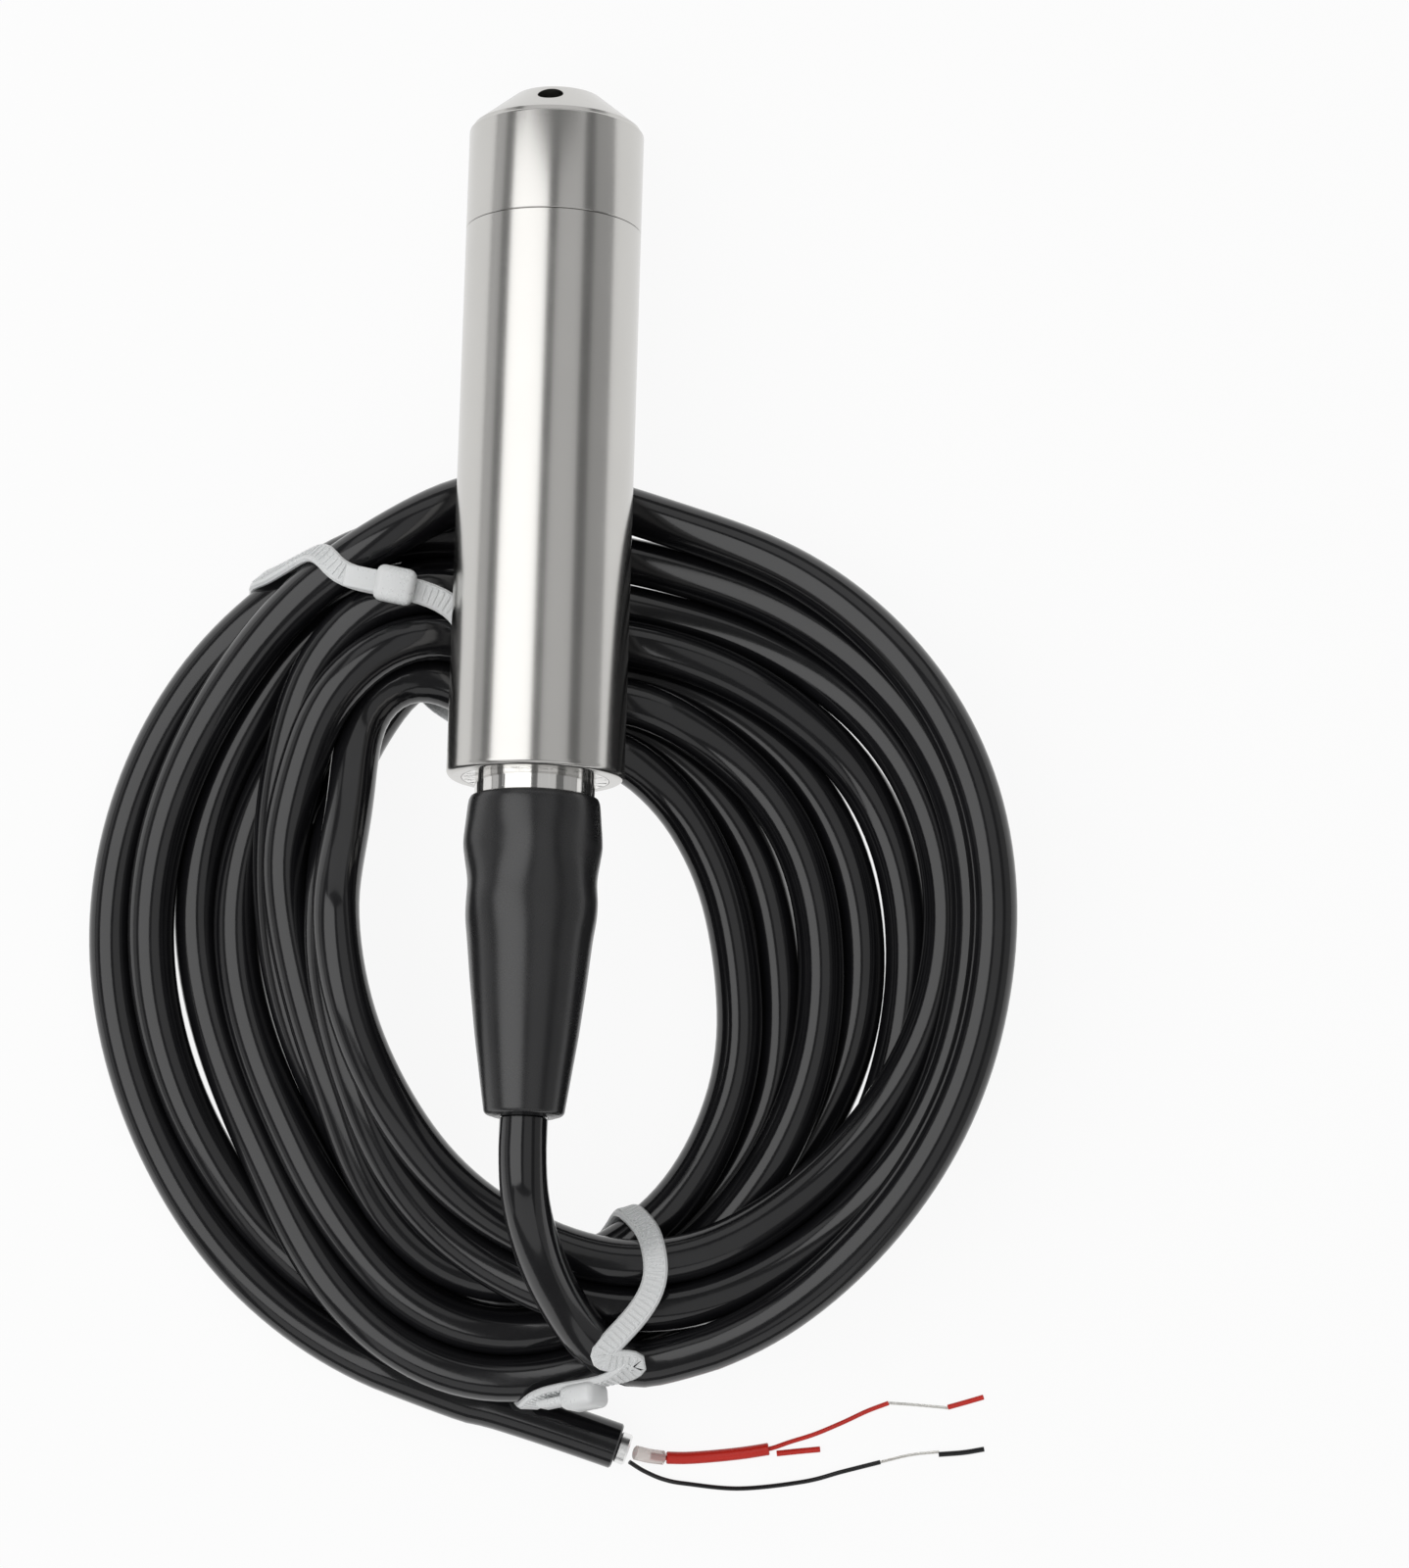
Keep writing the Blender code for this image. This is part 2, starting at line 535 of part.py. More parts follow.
def make_capsule(axis):
    """Pressure capsule: cup, O-ring, glass header with pins, chip and backing ring."""
    rim = CAPSULE_DIAMETER / 2
    room = HEADER_DIAMETER / 2 + GAP
    port = OIL_PORT_DIAMETER / 2
    floor = rim - SEAL_CORD - GAP
    groove = (CAPSULE_FRONT + CAPSULE_BACK - SEAL_GROOVE) / 2
    inside = CAPSULE_FRONT + CAPSULE_FRONT_WALL
    turned("sensor_capsule",
           [(room, CAPSULE_BACK), (rim, CAPSULE_BACK), (rim, groove + SEAL_GROOVE),
            (floor, groove + SEAL_GROOVE), (floor, groove), (rim, groove),
            (rim, CAPSULE_FRONT), (port, CAPSULE_FRONT), (port, inside), (room, inside)],
           STEEL, SMALL_STEPS * 2, axis)
    torus_ring("capsule_o_ring", rim - SEAL_CORD / 2, SEAL_CORD / 2,
               groove + SEAL_GROOVE / 2, BLACK_RUBBER, axis)
    header = turned("capsule_header",
                    [(0.0, HEADER_BACK), (HEADER_DIAMETER / 2, HEADER_BACK),
                     (HEADER_DIAMETER / 2, HEADER_FRONT), (0.0, HEADER_FRONT)],
                    GLASS_SEAL, SMALL_STEPS, axis)
    for index in range(PIN_COUNT):
        angle = pi / 2 + index * tau / PIN_COUNT
        side = PIN_CIRCLE / 2 * cos(angle)
        rise = PIN_CIRCLE / 2 * sin(angle)
        middle = (HEADER_FRONT + PIN_BACK) / 2
        rod(f"header_pin_{index + 1}", PIN_DIAMETER / 2, PIN_BACK - HEADER_FRONT,
            (side, rise, middle), PLATED, axis, 8)
        mesh = cone_mesh(f"pin_hole_{index + 1}", PIN_DIAMETER / 2 + GAP,
                         2 * HEADER_THICKNESS, 12)
        place = Matrix.Translation((side, rise, (HEADER_FRONT + HEADER_BACK) / 2))
        boolean(header, cutter(f"pin_hole_{index + 1}", mesh, place, axis))
    block("pressure_chip", (CHIP_SIDE, CHIP_SIDE, CHIP_THICKNESS),
          (0.0, 0.0, HEADER_FRONT - GAP - CHIP_THICKNESS / 2), CHIP_BLACK, axis)
    turned("capsule_backing_ring",
           [(rim, BACKING_FRONT + BACKING_LENGTH), (rim, BACKING_FRONT),
            (rim - BACKING_WIDTH, BACKING_FRONT),
            (rim - BACKING_WIDTH, BACKING_FRONT + BACKING_LENGTH)],
           STEEL, SMALL_STEPS * 2, axis)


def make_electronics(axis):
    """Board in its insulating sleeve, with the parts that stand on it."""
    inside = SLEEVE_RADIUS - SLEEVE_WALL
    turned("insulating_sleeve",
           [(SLEEVE_RADIUS, SLEEVE_BACK), (SLEEVE_RADIUS, SLEEVE_FRONT),
            (inside, SLEEVE_FRONT), (inside, SLEEVE_BACK)],
           CLEAR_NYLON, SMALL_STEPS * 2, axis)
    block("circuit_board", (BOARD_WIDTH, BOARD_THICKNESS, BOARD_BACK - BOARD_FRONT),
          (0.0, 0.0, (BOARD_FRONT + BOARD_BACK) / 2), BOARD_GREEN, axis)
    top = BOARD_HALF + GAP
    block("amplifier_chip", AMPLIFIER_SIZE,
          (0.0, top + AMPLIFIER_SIZE[1] / 2, BOARD_FRONT + AMPLIFIER_PLACE), CHIP_BLACK, axis)
    rod("surge_arrester", ARRESTER_DIAMETER / 2, ARRESTER_LENGTH,
        (0.0, top + ARRESTER_DIAMETER / 2, BOARD_BACK - ARRESTER_INSET), CERAMIC, axis, 16,
        Matrix.Rotation(pi / 2, 4, "Y"))
    for index in range(CAPACITOR_COUNT):
        side = (index - (CAPACITOR_COUNT - 1) / 2) * CAPACITOR_PITCH
        block(f"capacitor_{index + 1}", CAPACITOR_SIZE,
              (side, top + CAPACITOR_SIZE[1] / 2, BOARD_FRONT + CAPACITOR_PLACE), CERAMIC, axis)
    for name, side in (("red", 1), ("black", -1)):
        rod(f"terminal_post_{name}", TERMINAL_DIAMETER / 2, TERMINAL_HEIGHT,
            (side * TERMINAL_SPREAD / 2, top + TERMINAL_HEIGHT / 2, TERMINAL_PLACE),
            PLATED, axis, 12, Matrix.Rotation(pi / 2, 4, "X"))


def make_inner_wiring(axis):
    """Header wires, supply conductors and the end of the vent tube."""
    lie = BOARD_HALF + GAP + WIRE_DIAMETER / 2
    pads = BOARD_FRONT + WIRE_LAP
    order = sorted(range(PIN_COUNT),
                   key=lambda index: cos(pi / 2 + index * tau / PIN_COUNT))
    for slot, index in enumerate(order):
        angle = pi / 2 + index * tau / PIN_COUNT
        side = PIN_CIRCLE / 2 * cos(angle)
        rise = PIN_CIRCLE / 2 * sin(angle)
        pad = (slot - (PIN_COUNT - 1) / 2) * PIN_CIRCLE / 2
        start = PIN_BACK + GAP
        middle = (start + BOARD_FRONT) / 2
        tube(f"header_wire_{index + 1}",
             [(side, rise, start), (side, rise, start + 2 * WIRE_DIAMETER),
              ((side + pad) / 2, max(rise, lie) / 2 + lie, middle),
              (pad, lie, BOARD_FRONT), (pad, lie, pads)],
             WIRE_DIAMETER, RED_PLASTIC if index == 0 else BLACK_JACKET,
             WIRE_PITCH * WIRE_DIAMETER, axis)
    post = TERMINAL_PLACE + TERMINAL_DIAMETER / 2 + GAP
    rise = BOARD_HALF + GAP + TERMINAL_HEIGHT / 2
    start = SHEATH_FRONT - GAP
    for name, side, look in (("red", 1, RED_PLASTIC), ("black", -1, BLACK_JACKET)):
        near = side * WIRE_DIAMETER
        far = side * TERMINAL_SPREAD / 2
        tube(f"supply_wire_{name}",
             [(near, rise / 2, start), (near, rise / 2, start - 3 * WIRE_DIAMETER),
              ((near + far) / 2, rise, (start + post) / 2), (far, rise, post)],
             WIRE_DIAMETER, look, WIRE_PITCH * WIRE_DIAMETER, axis)
    low = -BOARD_HALF - GAP - VENT_DIAMETER / 2
    tube("vent_tube_inner",
         [(0.0, low, start), (0.0, low, start - VENT_REACH / 2), (0.0, low, start - VENT_REACH)],
         VENT_DIAMETER, CLEAR_NYLON, WIRE_PITCH * VENT_DIAMETER, axis)


def make_gland(axis):
    """Gland body with its bright neck, seal, washer, nut and the boot over them."""
    stub = STUB_DIAMETER / 2
    seat = GROMMET_RADIUS + GAP
    collar = COLLAR_DIAMETER / 2
    neck = NECK_DIAMETER / 2
    floor = FLANGE_RADIUS - SEAL_CORD - GAP
    groove = (FLANGE_FRONT + BODY_LENGTH - SEAL_GROOVE) / 2
    turned("gland_body",
           [(stub, STUB_BACK), (stub, COLLAR_BACK), (collar, COLLAR_BACK),
            (collar, NECK_BACK), (neck, NECK_BACK), (neck, BODY_LENGTH),
            (FLANGE_RADIUS, BODY_LENGTH), (FLANGE_RADIUS, groove + SEAL_GROOVE),
            (floor, groove + SEAL_GROOVE), (floor, groove), (FLANGE_RADIUS, groove),
            (FLANGE_RADIUS, FLANGE_FRONT), (CABLE_HOLE, FLANGE_FRONT),
            (CABLE_HOLE, GROMMET_FRONT - GAP), (seat, GROMMET_FRONT - GAP),
            (seat, STUB_BACK)], BRIGHT_STEEL, STEPS, axis)
    torus_ring("gland_o_ring", FLANGE_RADIUS - SEAL_CORD / 2, SEAL_CORD / 2,
               groove + SEAL_GROOVE / 2, BLACK_RUBBER, axis)
    turned("gland_grommet",
           [(GROMMET_RADIUS, GROMMET_BACK), (GROMMET_RADIUS, GROMMET_FRONT),
            (CABLE_HOLE, GROMMET_FRONT), (CABLE_HOLE, GROMMET_BACK)],
           BLACK_RUBBER, SMALL_STEPS, axis)
    turned("gland_washer",
           [(stub, WASHER_BACK), (stub, WASHER_FRONT), (CABLE_HOLE, WASHER_FRONT),
            (CABLE_HOLE, WASHER_BACK)], STEEL, SMALL_STEPS, axis)
    make_gland_nut(axis)
    bore = BOOT_BORE / 2
    tip = BOOT_OUTLINE[-1][0]
    outline = [(radius, BOOT_FRONT + distance) for distance, radius in BOOT_OUTLINE[::-1]]
    close = NUT_BACK + GAP
    outline += [(bore, BOOT_FRONT), (bore, close), (CABLE_HOLE, close + BOOT_TAPER),
                (CABLE_HOLE, BOOT_FRONT + tip)]
    turned("gland_boot", outline, BLACK_RUBBER, STEPS, axis)


def make_gland_nut(axis):
    """Hexagon nut that presses the washer and grommet on the cable."""
    front = COLLAR_BACK + NUT_FRONT
    length = NUT_BACK - front
    form = bmesh.new()
    bmesh.ops.create_cone(form, cap_ends=True, segments=6, radius1=NUT_FLATS / sqrt(3),
                          radius2=NUT_FLATS / sqrt(3), depth=length)
    mesh = bpy.data.meshes.new("gland_nut")
    form.to_mesh(mesh)
    form.free()
    nut = add("gland_nut", mesh, STEEL, axis)
    nut.location = (0.0, 0.0, front + length / 2)
    room = cone_mesh("nut_room", STUB_DIAMETER / 2 + GAP, 2 * (NUT_STOP - front), SMALL_STEPS)
    boolean(nut, cutter("nut_room", room, Matrix.Translation((0, 0, front)), axis))
    hole = cone_mesh("nut_hole", CABLE_HOLE, 2 * length, SMALL_STEPS)
    boolean(nut, cutter("nut_hole", hole, Matrix.Translation((0, 0, NUT_BACK)), axis))


def make_cable_in_gland(axis):
    """Length of cable that the gland and the boot hold."""
    turned("cable_in_gland",
           [(0.0, BOOT_BACK), (CABLE_RADIUS, BOOT_BACK), (CABLE_RADIUS, SHEATH_FRONT),
            (0.0, SHEATH_FRONT)], BLACK_JACKET, SMALL_STEPS, axis)


# Coil of cable and its ties

def around(values, angle):
    """Smooth value between twelve stations spaced evenly round the coil."""
    place = (angle % tau) / tau * len(values)
    index = int(place)
    t = place - index
    a, b, c, d = (values[(index + step) % len(values)] for step in (-1, 0, 1, 2))
    return 0.5 * (2 * b + (c - a) * t + (2 * a - 5 * b + 4 * c - d) * t ** 2
                  + (3 * b - a - 3 * c + d) * t ** 3)


def tie_angle(tie, section):
    """Place of a tie round the coil, at an angle of the bundle's section."""
    middle, sway, lean, _ = tie
    return radians(middle + sway * cos(section) + lean * sin(section))


def coil_point(angle, section, outset=0.0):
    """Point on the coil's outer surface: an angle round it and one round its section."""
    inner = around(COIL_INNER, angle) * MM
    outer = around(COIL_OUTER, angle) * MM
    lift = 0.0
    for tie in (TOP_TIE, BOTTOM_TIE):
        away = (angle - radians(tie[0]) + pi) % tau - pi
        near = TIE_LIFT_PEAK * exp(-(away / TIE_LIFT_SPAN) ** 2)
        lift = max(lift, TIE_LIFT * min(1.0, near))
    across = cos(section)
    upward = sin(section)
    across = abs(across) ** COIL_SQUARENESS * (1 if across > 0 else -1)
    upward = abs(upward) ** COIL_SQUARENESS * (1 if upward > 0 else -1)
    half = (outer - inner) / 2 + outset
    share = (across + 1) / 2
    top = (1 - share) * around(COIL_INNER_TOP, angle) + share * around(COIL_OUTER_TOP, angle)
    reach = (inner + outer) / 2 + across * half
    place = Vector((COIL_CENTRE[0] + reach * cos(angle), COIL_CENTRE[1] + reach * sin(angle), 0))
    height = lift - outset + (upward + 1) / 2 * (top * MM - lift + 2 * outset)
    limit = under_body(place.x, place.y)
    if limit is not None and place.y > on_axis(BODY_LENGTH).y:
        height = min(height, limit - GAP)
    place.z = height
    return place


def closed_loft(name, rows, look):
    """Closed skin over rings of points that follow each other round a loop."""
    form = bmesh.new()
    rings = [[form.verts.new(point) for point in row] for row in rows]
    for ring, after in zip(rings, rings[1:] + rings[:1]):
        for index in range(len(ring)):
            following = (index + 1) % len(ring)
            form.faces.new((ring[index], after[index], after[following], ring[following]))
    bmesh.ops.recalc_face_normals(form, faces=form.faces)
    mesh = bpy.data.meshes.new(name)
    form.to_mesh(mesh)
    form.free()
    smooth_round(mesh)
    return add(name, mesh, look)


def make_coil():
    """One solid of the outer shape of the tied coil."""
    rows = []
    for step in range(COIL_AROUND):
        angle = tau * step / COIL_AROUND
        rows.append([coil_point(angle, tau * index / COIL_SECTION)
                     for index in range(COIL_SECTION)])
    closed_loft("cable_coil", rows, BLACK_JACKET)


def make_tie(name, tie):
    """Strap round the bundle with its head and the cut end of its tongue."""
    def track(section, outset):
        return coil_point(tie_angle(tie, section), section, outset)

    def frame_at(section):
        step = TIE_FRAME_STEP
        along = (track(section + step, GAP) - track(section - step, GAP)).normalized()
        angle = tie_angle(tie, section)
        tangent = coil_point(angle + step, section) - coil_point(angle - step, section)
        outward = along.cross(tangent).normalized()
        if outward.dot(track(section, 1 * MM) - track(section, 0.0)) < 0:
            outward = -outward
        return along, outward, outward.cross(along).normalized()

    rows = []
    middle = TIE_CLEARANCE + TIE_THICKNESS / 2
    for index in range(TIE_STEPS):
        section = tau * index / TIE_STEPS
        _, outward, side = frame_at(section)
        centre = track(section, middle)
        half = (TIE_THICKNESS / 2, TIE_WIDTH / 2)
        rows.append([centre + outward * half[0] * a + side * half[1] * b
                     for a, b in ((-1, -1), (1, -1), (1, 1), (-1, 1))])
    strap = closed_loft(name, rows, CLEAR_NYLON)
    section = radians(tie[3])
    along, outward, side = frame_at(section)
    turn = Matrix((along, side, outward)).transposed().to_4x4()
    seat = track(section, middle)
    for label, size, shift in (("head", TIE_HEAD, 0.0), ("tongue", TIE_TONGUE, -TONGUE_REACH)):
        place = Matrix.Translation(seat + outward * TIE_HEAD[2] / 2 + along * shift)
        mesh = box_mesh(label, size)
        boolean(strap, cutter(f"{name}_{label}", mesh, place @ turn), "UNION")


# Free lengths of cable and its stripped end

def make_free_cable():
    """Cable from the boot down to the coil, and its tail along the floor."""
    start = on_axis(BOOT_BACK + GAP)
    straight = on_axis(BOOT_BACK + GAP + LEAD_IN_STRAIGHT)
    tube("cable_lead_in", [tuple(start), tuple(straight)] + LEAD_IN_POINTS, CABLE_DIAMETER,
         BLACK_JACKET)
    tube("cable_tail", TAIL_POINTS, CABLE_DIAMETER, BLACK_JACKET)


def make_shield_collar():
    """Cut end of the shield that shows past the jacket."""
    end = Vector(TAIL_POINTS[-1])
    way = (end - Vector(TAIL_POINTS[-2])).normalized()
    turn = Vector((0, 0, 1)).rotation_difference(way).to_matrix().to_4x4()
    place = end + way * (GAP + COLLAR_END_LENGTH / 2)
    rod("shield_collar", COLLAR_END_DIAMETER / 2, COLLAR_END_LENGTH, place, TINNED,
        steps=20, turn=turn)


def make_stripped_leads():
    """Vent tube, red sleeve and the two leads with their bared strands."""
    tube("vent_tube_end", CLEAR_TUBE_POINTS, CLEAR_TUBE_DIAMETER, CLEAR_NYLON)
    tube("red_sleeve", RED_SLEEVE_POINTS, RED_SLEEVE_DIAMETER, RED_PLASTIC)
    tube("red_sleeve_tip", RED_TIP_POINTS, RED_TIP_DIAMETER, RED_PLASTIC)
    pitch = LEAD_PITCH * LEAD_DIAMETER
    tube("red_lead", RED_LEAD_POINTS, LEAD_DIAMETER, RED_PLASTIC, pitch)
    tube("red_lead_strands", RED_STRAND_POINTS, STRAND_DIAMETER, TINNED, pitch)
    tube("red_lead_slug", RED_SLUG_POINTS, SLUG_DIAMETER, RED_PLASTIC, pitch)
    tube("black_lead", BLACK_LEAD_POINTS, LEAD_DIAMETER, BLACK_JACKET, pitch)
    tube("black_lead_strands", BLACK_STRAND_POINTS, STRAND_DIAMETER, TINNED, pitch)
    tube("black_lead_slug", BLACK_SLUG_POINTS, SLUG_DIAMETER, BLACK_JACKET, pitch)


def build():
    """Model the whole transmitter."""
    axis = make_probe_axis()
    make_nose_cap(axis)
    make_housing(axis)
    make_diaphragm(axis)
    make_capsule(axis)
    make_electronics(axis)
    make_inner_wiring(axis)
    make_gland(axis)
    make_cable_in_gland(axis)
    make_coil()
    make_tie("cable_tie_top", TOP_TIE)
    make_tie("cable_tie_bottom", BOTTOM_TIE)
    make_free_cable()
    make_shield_collar()
    make_stripped_leads()


clear_scene()
PARTS = collection("submersible_level_transmitter")
CUTTERS = collection("cutters")
build()
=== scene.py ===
"""Submersible level transmitter, dressed: steel probe, coiled vented cable and stripped leads."""

import json
import logging
from dataclasses import dataclass, field
from enum import Enum
from math import atan2, cos, exp, hypot, pi, radians, sin, tan, tau
from typing import Any, Sequence, Union

import bmesh
import bpy
import numpy as np
from mathutils import Matrix, Vector


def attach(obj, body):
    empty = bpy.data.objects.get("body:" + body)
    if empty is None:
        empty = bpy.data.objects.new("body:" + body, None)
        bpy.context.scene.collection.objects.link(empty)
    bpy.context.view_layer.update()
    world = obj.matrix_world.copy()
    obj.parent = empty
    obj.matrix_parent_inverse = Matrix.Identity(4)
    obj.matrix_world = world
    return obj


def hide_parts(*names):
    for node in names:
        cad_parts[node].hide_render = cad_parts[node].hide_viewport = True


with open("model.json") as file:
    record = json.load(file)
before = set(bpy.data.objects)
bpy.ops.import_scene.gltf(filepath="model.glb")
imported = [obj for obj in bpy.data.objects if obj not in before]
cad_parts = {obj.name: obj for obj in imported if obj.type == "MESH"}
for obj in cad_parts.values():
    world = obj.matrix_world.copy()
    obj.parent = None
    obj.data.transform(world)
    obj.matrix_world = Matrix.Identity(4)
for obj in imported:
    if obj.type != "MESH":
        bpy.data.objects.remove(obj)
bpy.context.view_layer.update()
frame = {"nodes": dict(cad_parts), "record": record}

LOG = logging.getLogger("level_transmitter")
MM = 0.001
BODY = "root"
FAR = 1.0
WHITE = (1.0, 1.0, 1.0, 1.0)
FEWEST_POINTS = 6
Point = tuple[float, float, float]
Colour = tuple[float, float, float]
Number = Union[float, "Value"]


class Slot(Enum):
    """Material slots of the record."""

    STEEL = "stainless_steel"
    BRIGHT_STEEL = "bright_steel"
    TINNED = "tinned_copper"
    PLATED = "plated_contact"
    RUBBER = "black_rubber"
    JACKET = "black_jacket"
    NYLON = "clear_nylon"
    RED = "red_plastic"
    GLASS = "glass_seal"
    BOARD = "board_green"
    CHIP = "chip_black"
    CERAMIC = "fired_ceramic"


# Shader maths

class Value:
    """A number socket on which Python's operators add Math nodes."""

    def __init__(self, bench: "Bench", socket: bpy.types.NodeSocket) -> None:
        """Wrap a socket of a bench."""
        self.bench = bench
        self.socket = socket

    def _math(self, operation: str, first: Number, second: Number) -> "Value":
        """Add one Math node on two numbers or values."""
        node = self.bench.node("ShaderNodeMath", {"operation": operation},
                               {0: first, 1: second})
        return Value(self.bench, node.outputs[0])

    def __add__(self, other: Number) -> "Value":
        """Sum."""
        return self._math("ADD", self, other)

    def __radd__(self, other: Number) -> "Value":
        """Reflected sum."""
        return self._math("ADD", other, self)

    def __sub__(self, other: Number) -> "Value":
        """Difference."""
        return self._math("SUBTRACT", self, other)

    def __mul__(self, other: Number) -> "Value":
        """Product."""
        return self._math("MULTIPLY", self, other)

    def __truediv__(self, other: Number) -> "Value":
        """Quotient."""
        return self._math("DIVIDE", self, other)

    def wave(self, operation: str) -> "Value":
        """COSINE or SINE of the value."""
        return self._math(operation, self, 0.0)

    def at_most(self, limit: Number) -> "Value":
        """The smaller of the value and a limit."""
        return self._math("MINIMUM", self, limit)


class Bench:
    """A node tree that is being wired."""

    def __init__(self, tree: bpy.types.NodeTree) -> None:
        """Start on an existing tree."""
        self.tree = tree

    def node(self, kind: str, settings: dict[str, Any] | None = None,
             inputs: dict[Any, Any] | None = None) -> bpy.types.Node:
        """Add one node.

        Args:
            kind: The node's type name.
            settings: Properties by name.
            inputs: Contents of its inputs, see fill.

        Returns:
            The new node.
        """
        made = self.tree.nodes.new(kind)
        for name, setting in (settings or {}).items():
            setattr(made, name, setting)
        self.fill(made, inputs or {})
        return made

    def fill(self, node: bpy.types.Node, inputs: dict[Any, Any]) -> None:
        """Set inputs of a node, by name or index, to plain values, or link them to sockets."""
        for key, content in inputs.items():
            if isinstance(content, Value):
                content = content.socket
            if isinstance(content, bpy.types.NodeSocket):
                self.tree.links.new(content, node.inputs[key])
            else:
                node.inputs[key].default_value = content

    def noise(self, vector: bpy.types.NodeSocket, scale: float, detail: float = 3.0) -> Value:
        """Noise on a vector, from 0 to 1."""
        made = self.node("ShaderNodeTexNoise", {"noise_dimensions": "3D"},
                         {"Vector": vector, "Scale": scale, "Detail": detail})
        return Value(self, made.outputs[0])

    def mix(self, share: Number, first: Any, second: Any) -> bpy.types.NodeSocket:
        """Blend two colours by a share."""
        made = self.node("ShaderNodeMix", {"data_type": "RGBA"},
                         {0: share, 6: first, 7: second})
        return made.outputs[2]

    def bump(self, height: Value, strength: float, distance: float) -> bpy.types.NodeSocket:
        """Normal raised by a height."""
        made = self.node("ShaderNodeBump", None,
                         {"Height": height, "Strength": strength, "Distance": distance})
        return made.outputs[0]


def new_material(name: str) -> tuple[bpy.types.Material, Bench, bpy.types.Node]:
    """Material with its bench and its Principled shader."""
    made = bpy.data.materials.new(name)
    made.use_nodes = True
    return made, Bench(made.node_tree), made.node_tree.nodes["Principled BSDF"]


def rgba(colour: Colour, factor: float = 1.0) -> tuple[float, float, float, float]:
    """Colour with its alpha, made darker or lighter by a factor."""
    return (colour[0] * factor, colour[1] * factor, colour[2] * factor, 1.0)


@dataclass(frozen=True)
class TurnedSteel:
    """Turned stainless steel with fine rings round the probe."""

    colour: Colour = (0.60, 0.59, 0.57)
    roughness: float = 0.20
    ring_pitch: float = 0.16 * MM
    ring_depth: float = 0.0006 * MM
    ring_bump: float = 0.5
    ring_rough: float = 0.06
    stain_scale: float = 90.0
    stain_rough: float = 0.05
    shades: tuple[float, float] = (0.95, 1.03)

    def material(self, name: str, axis: Vector) -> bpy.types.Material:
        """Build the material for a piece that was turned about an axis."""
        made, bench, shader = new_material(name)
        place = bench.node("ShaderNodeTexCoord").outputs["Object"]
        along = bench.node("ShaderNodeVectorMath", {"operation": "DOT_PRODUCT"},
                           {0: place, 1: tuple(axis)}).outputs["Value"]
        rings = bench.node("ShaderNodeTexNoise", {"noise_dimensions": "1D"},
                           {"W": along, "Scale": 1.0 / self.ring_pitch, "Detail": 2.0})
        ring = Value(bench, rings.outputs[0])
        stain = bench.noise(place, self.stain_scale)
        rough = (self.roughness + (ring - 0.5) * self.ring_rough
                 + (stain - 0.5) * self.stain_rough)
        dark, light = (rgba(self.colour, shade) for shade in self.shades)
        bench.fill(shader, {"Base Color": bench.mix(stain, dark, light),
                            "Roughness": rough,
                            "Normal": bench.bump(ring, self.ring_bump, self.ring_depth),
                            "Metallic": 1.0})
        return made


@dataclass(frozen=True)
class Moulded:
    """Moulded or extruded plastic or rubber, with fine grain and faint wear."""

    colour: Colour
    roughness: float
    grain_scale: float = 2200.0
    grain_depth: float = 0.006 * MM
    wear: float = 0.10
    wear_scale: float = 120.0
    coat: float = 0.0
    transmission: float = 0.0
    metallic: float = 0.0
    index: float = 1.5
    grain_bump: float = 0.4
    grain_rough: float = 0.04
    wear_gain: float = 1.35
    wear_lift: float = 0.004

    def material(self, name: str) -> bpy.types.Material:
        """Build the material."""
        made, bench, shader = new_material(name)
        place = bench.node("ShaderNodeTexCoord").outputs["Object"]
        grain = bench.noise(place, self.grain_scale)
        wear = bench.noise(place, self.wear_scale, 4.0)
        lighter = tuple(min(1.0, part * self.wear_gain + self.wear_lift)
                        for part in self.colour)
        rough = (self.roughness + (wear - 0.5) * self.wear
                 + (grain - 0.5) * self.grain_rough)
        bench.fill(shader, {
            "Base Color": bench.mix(wear * wear, rgba(self.colour), rgba(lighter)),
            "Roughness": rough,
            "Normal": bench.bump(grain, self.grain_bump, self.grain_depth),
            "Coat Weight": self.coat,
            "Transmission Weight": self.transmission,
            "Metallic": self.metallic,
            "IOR": self.index})
        return made


NECK_STEEL = TurnedSteel((0.74, 0.73, 0.71), 0.10, ring_pitch=0.3 * MM)
INNER_BRIGHT_STEEL = TurnedSteel((0.88, 0.87, 0.85), 0.12)
JACKET = Moulded((0.006, 0.006, 0.007), 0.14, grain_scale=1500.0, grain_depth=0.004 * MM,
                 wear=0.10, wear_scale=160.0, coat=0.2)
BOOT = Moulded((0.010, 0.010, 0.011), 0.27, grain_scale=2600.0, grain_depth=0.008 * MM,
               index=1.6)
RUBBER = Moulded((0.020, 0.020, 0.022), 0.50)
NYLON = Moulded((0.90, 0.92, 0.92), 0.28, transmission=0.20, wear=0.06)
CLEAR_TUBE = Moulded((0.86, 0.76, 0.72), 0.22, transmission=0.55, wear=0.05)
RED = Moulded((0.62, 0.022, 0.012), 0.36)
FOIL = Moulded((0.80, 0.80, 0.79), 0.30, metallic=1.0, grain_scale=900.0,
               grain_depth=0.05 * MM)
TINNED = Moulded((0.78, 0.76, 0.72), 0.26, metallic=1.0)
PLATED = Moulded((0.80, 0.66, 0.34), 0.28, metallic=1.0)
GLASS_SEAL = Moulded((0.06, 0.10, 0.08), 0.12)
BOARD = Moulded((0.02, 0.16, 0.06), 0.40)
CHIP = Moulded((0.03, 0.03, 0.03), 0.48)
CERAMIC = Moulded((0.80, 0.76, 0.66), 0.45)


# Meshes

def linked(name: str, data: bpy.types.ID) -> bpy.types.Object:
    """Object at the origin, linked to the scene."""
    made = bpy.data.objects.new(name, data)
    bpy.context.scene.collection.objects.link(made)
    return made


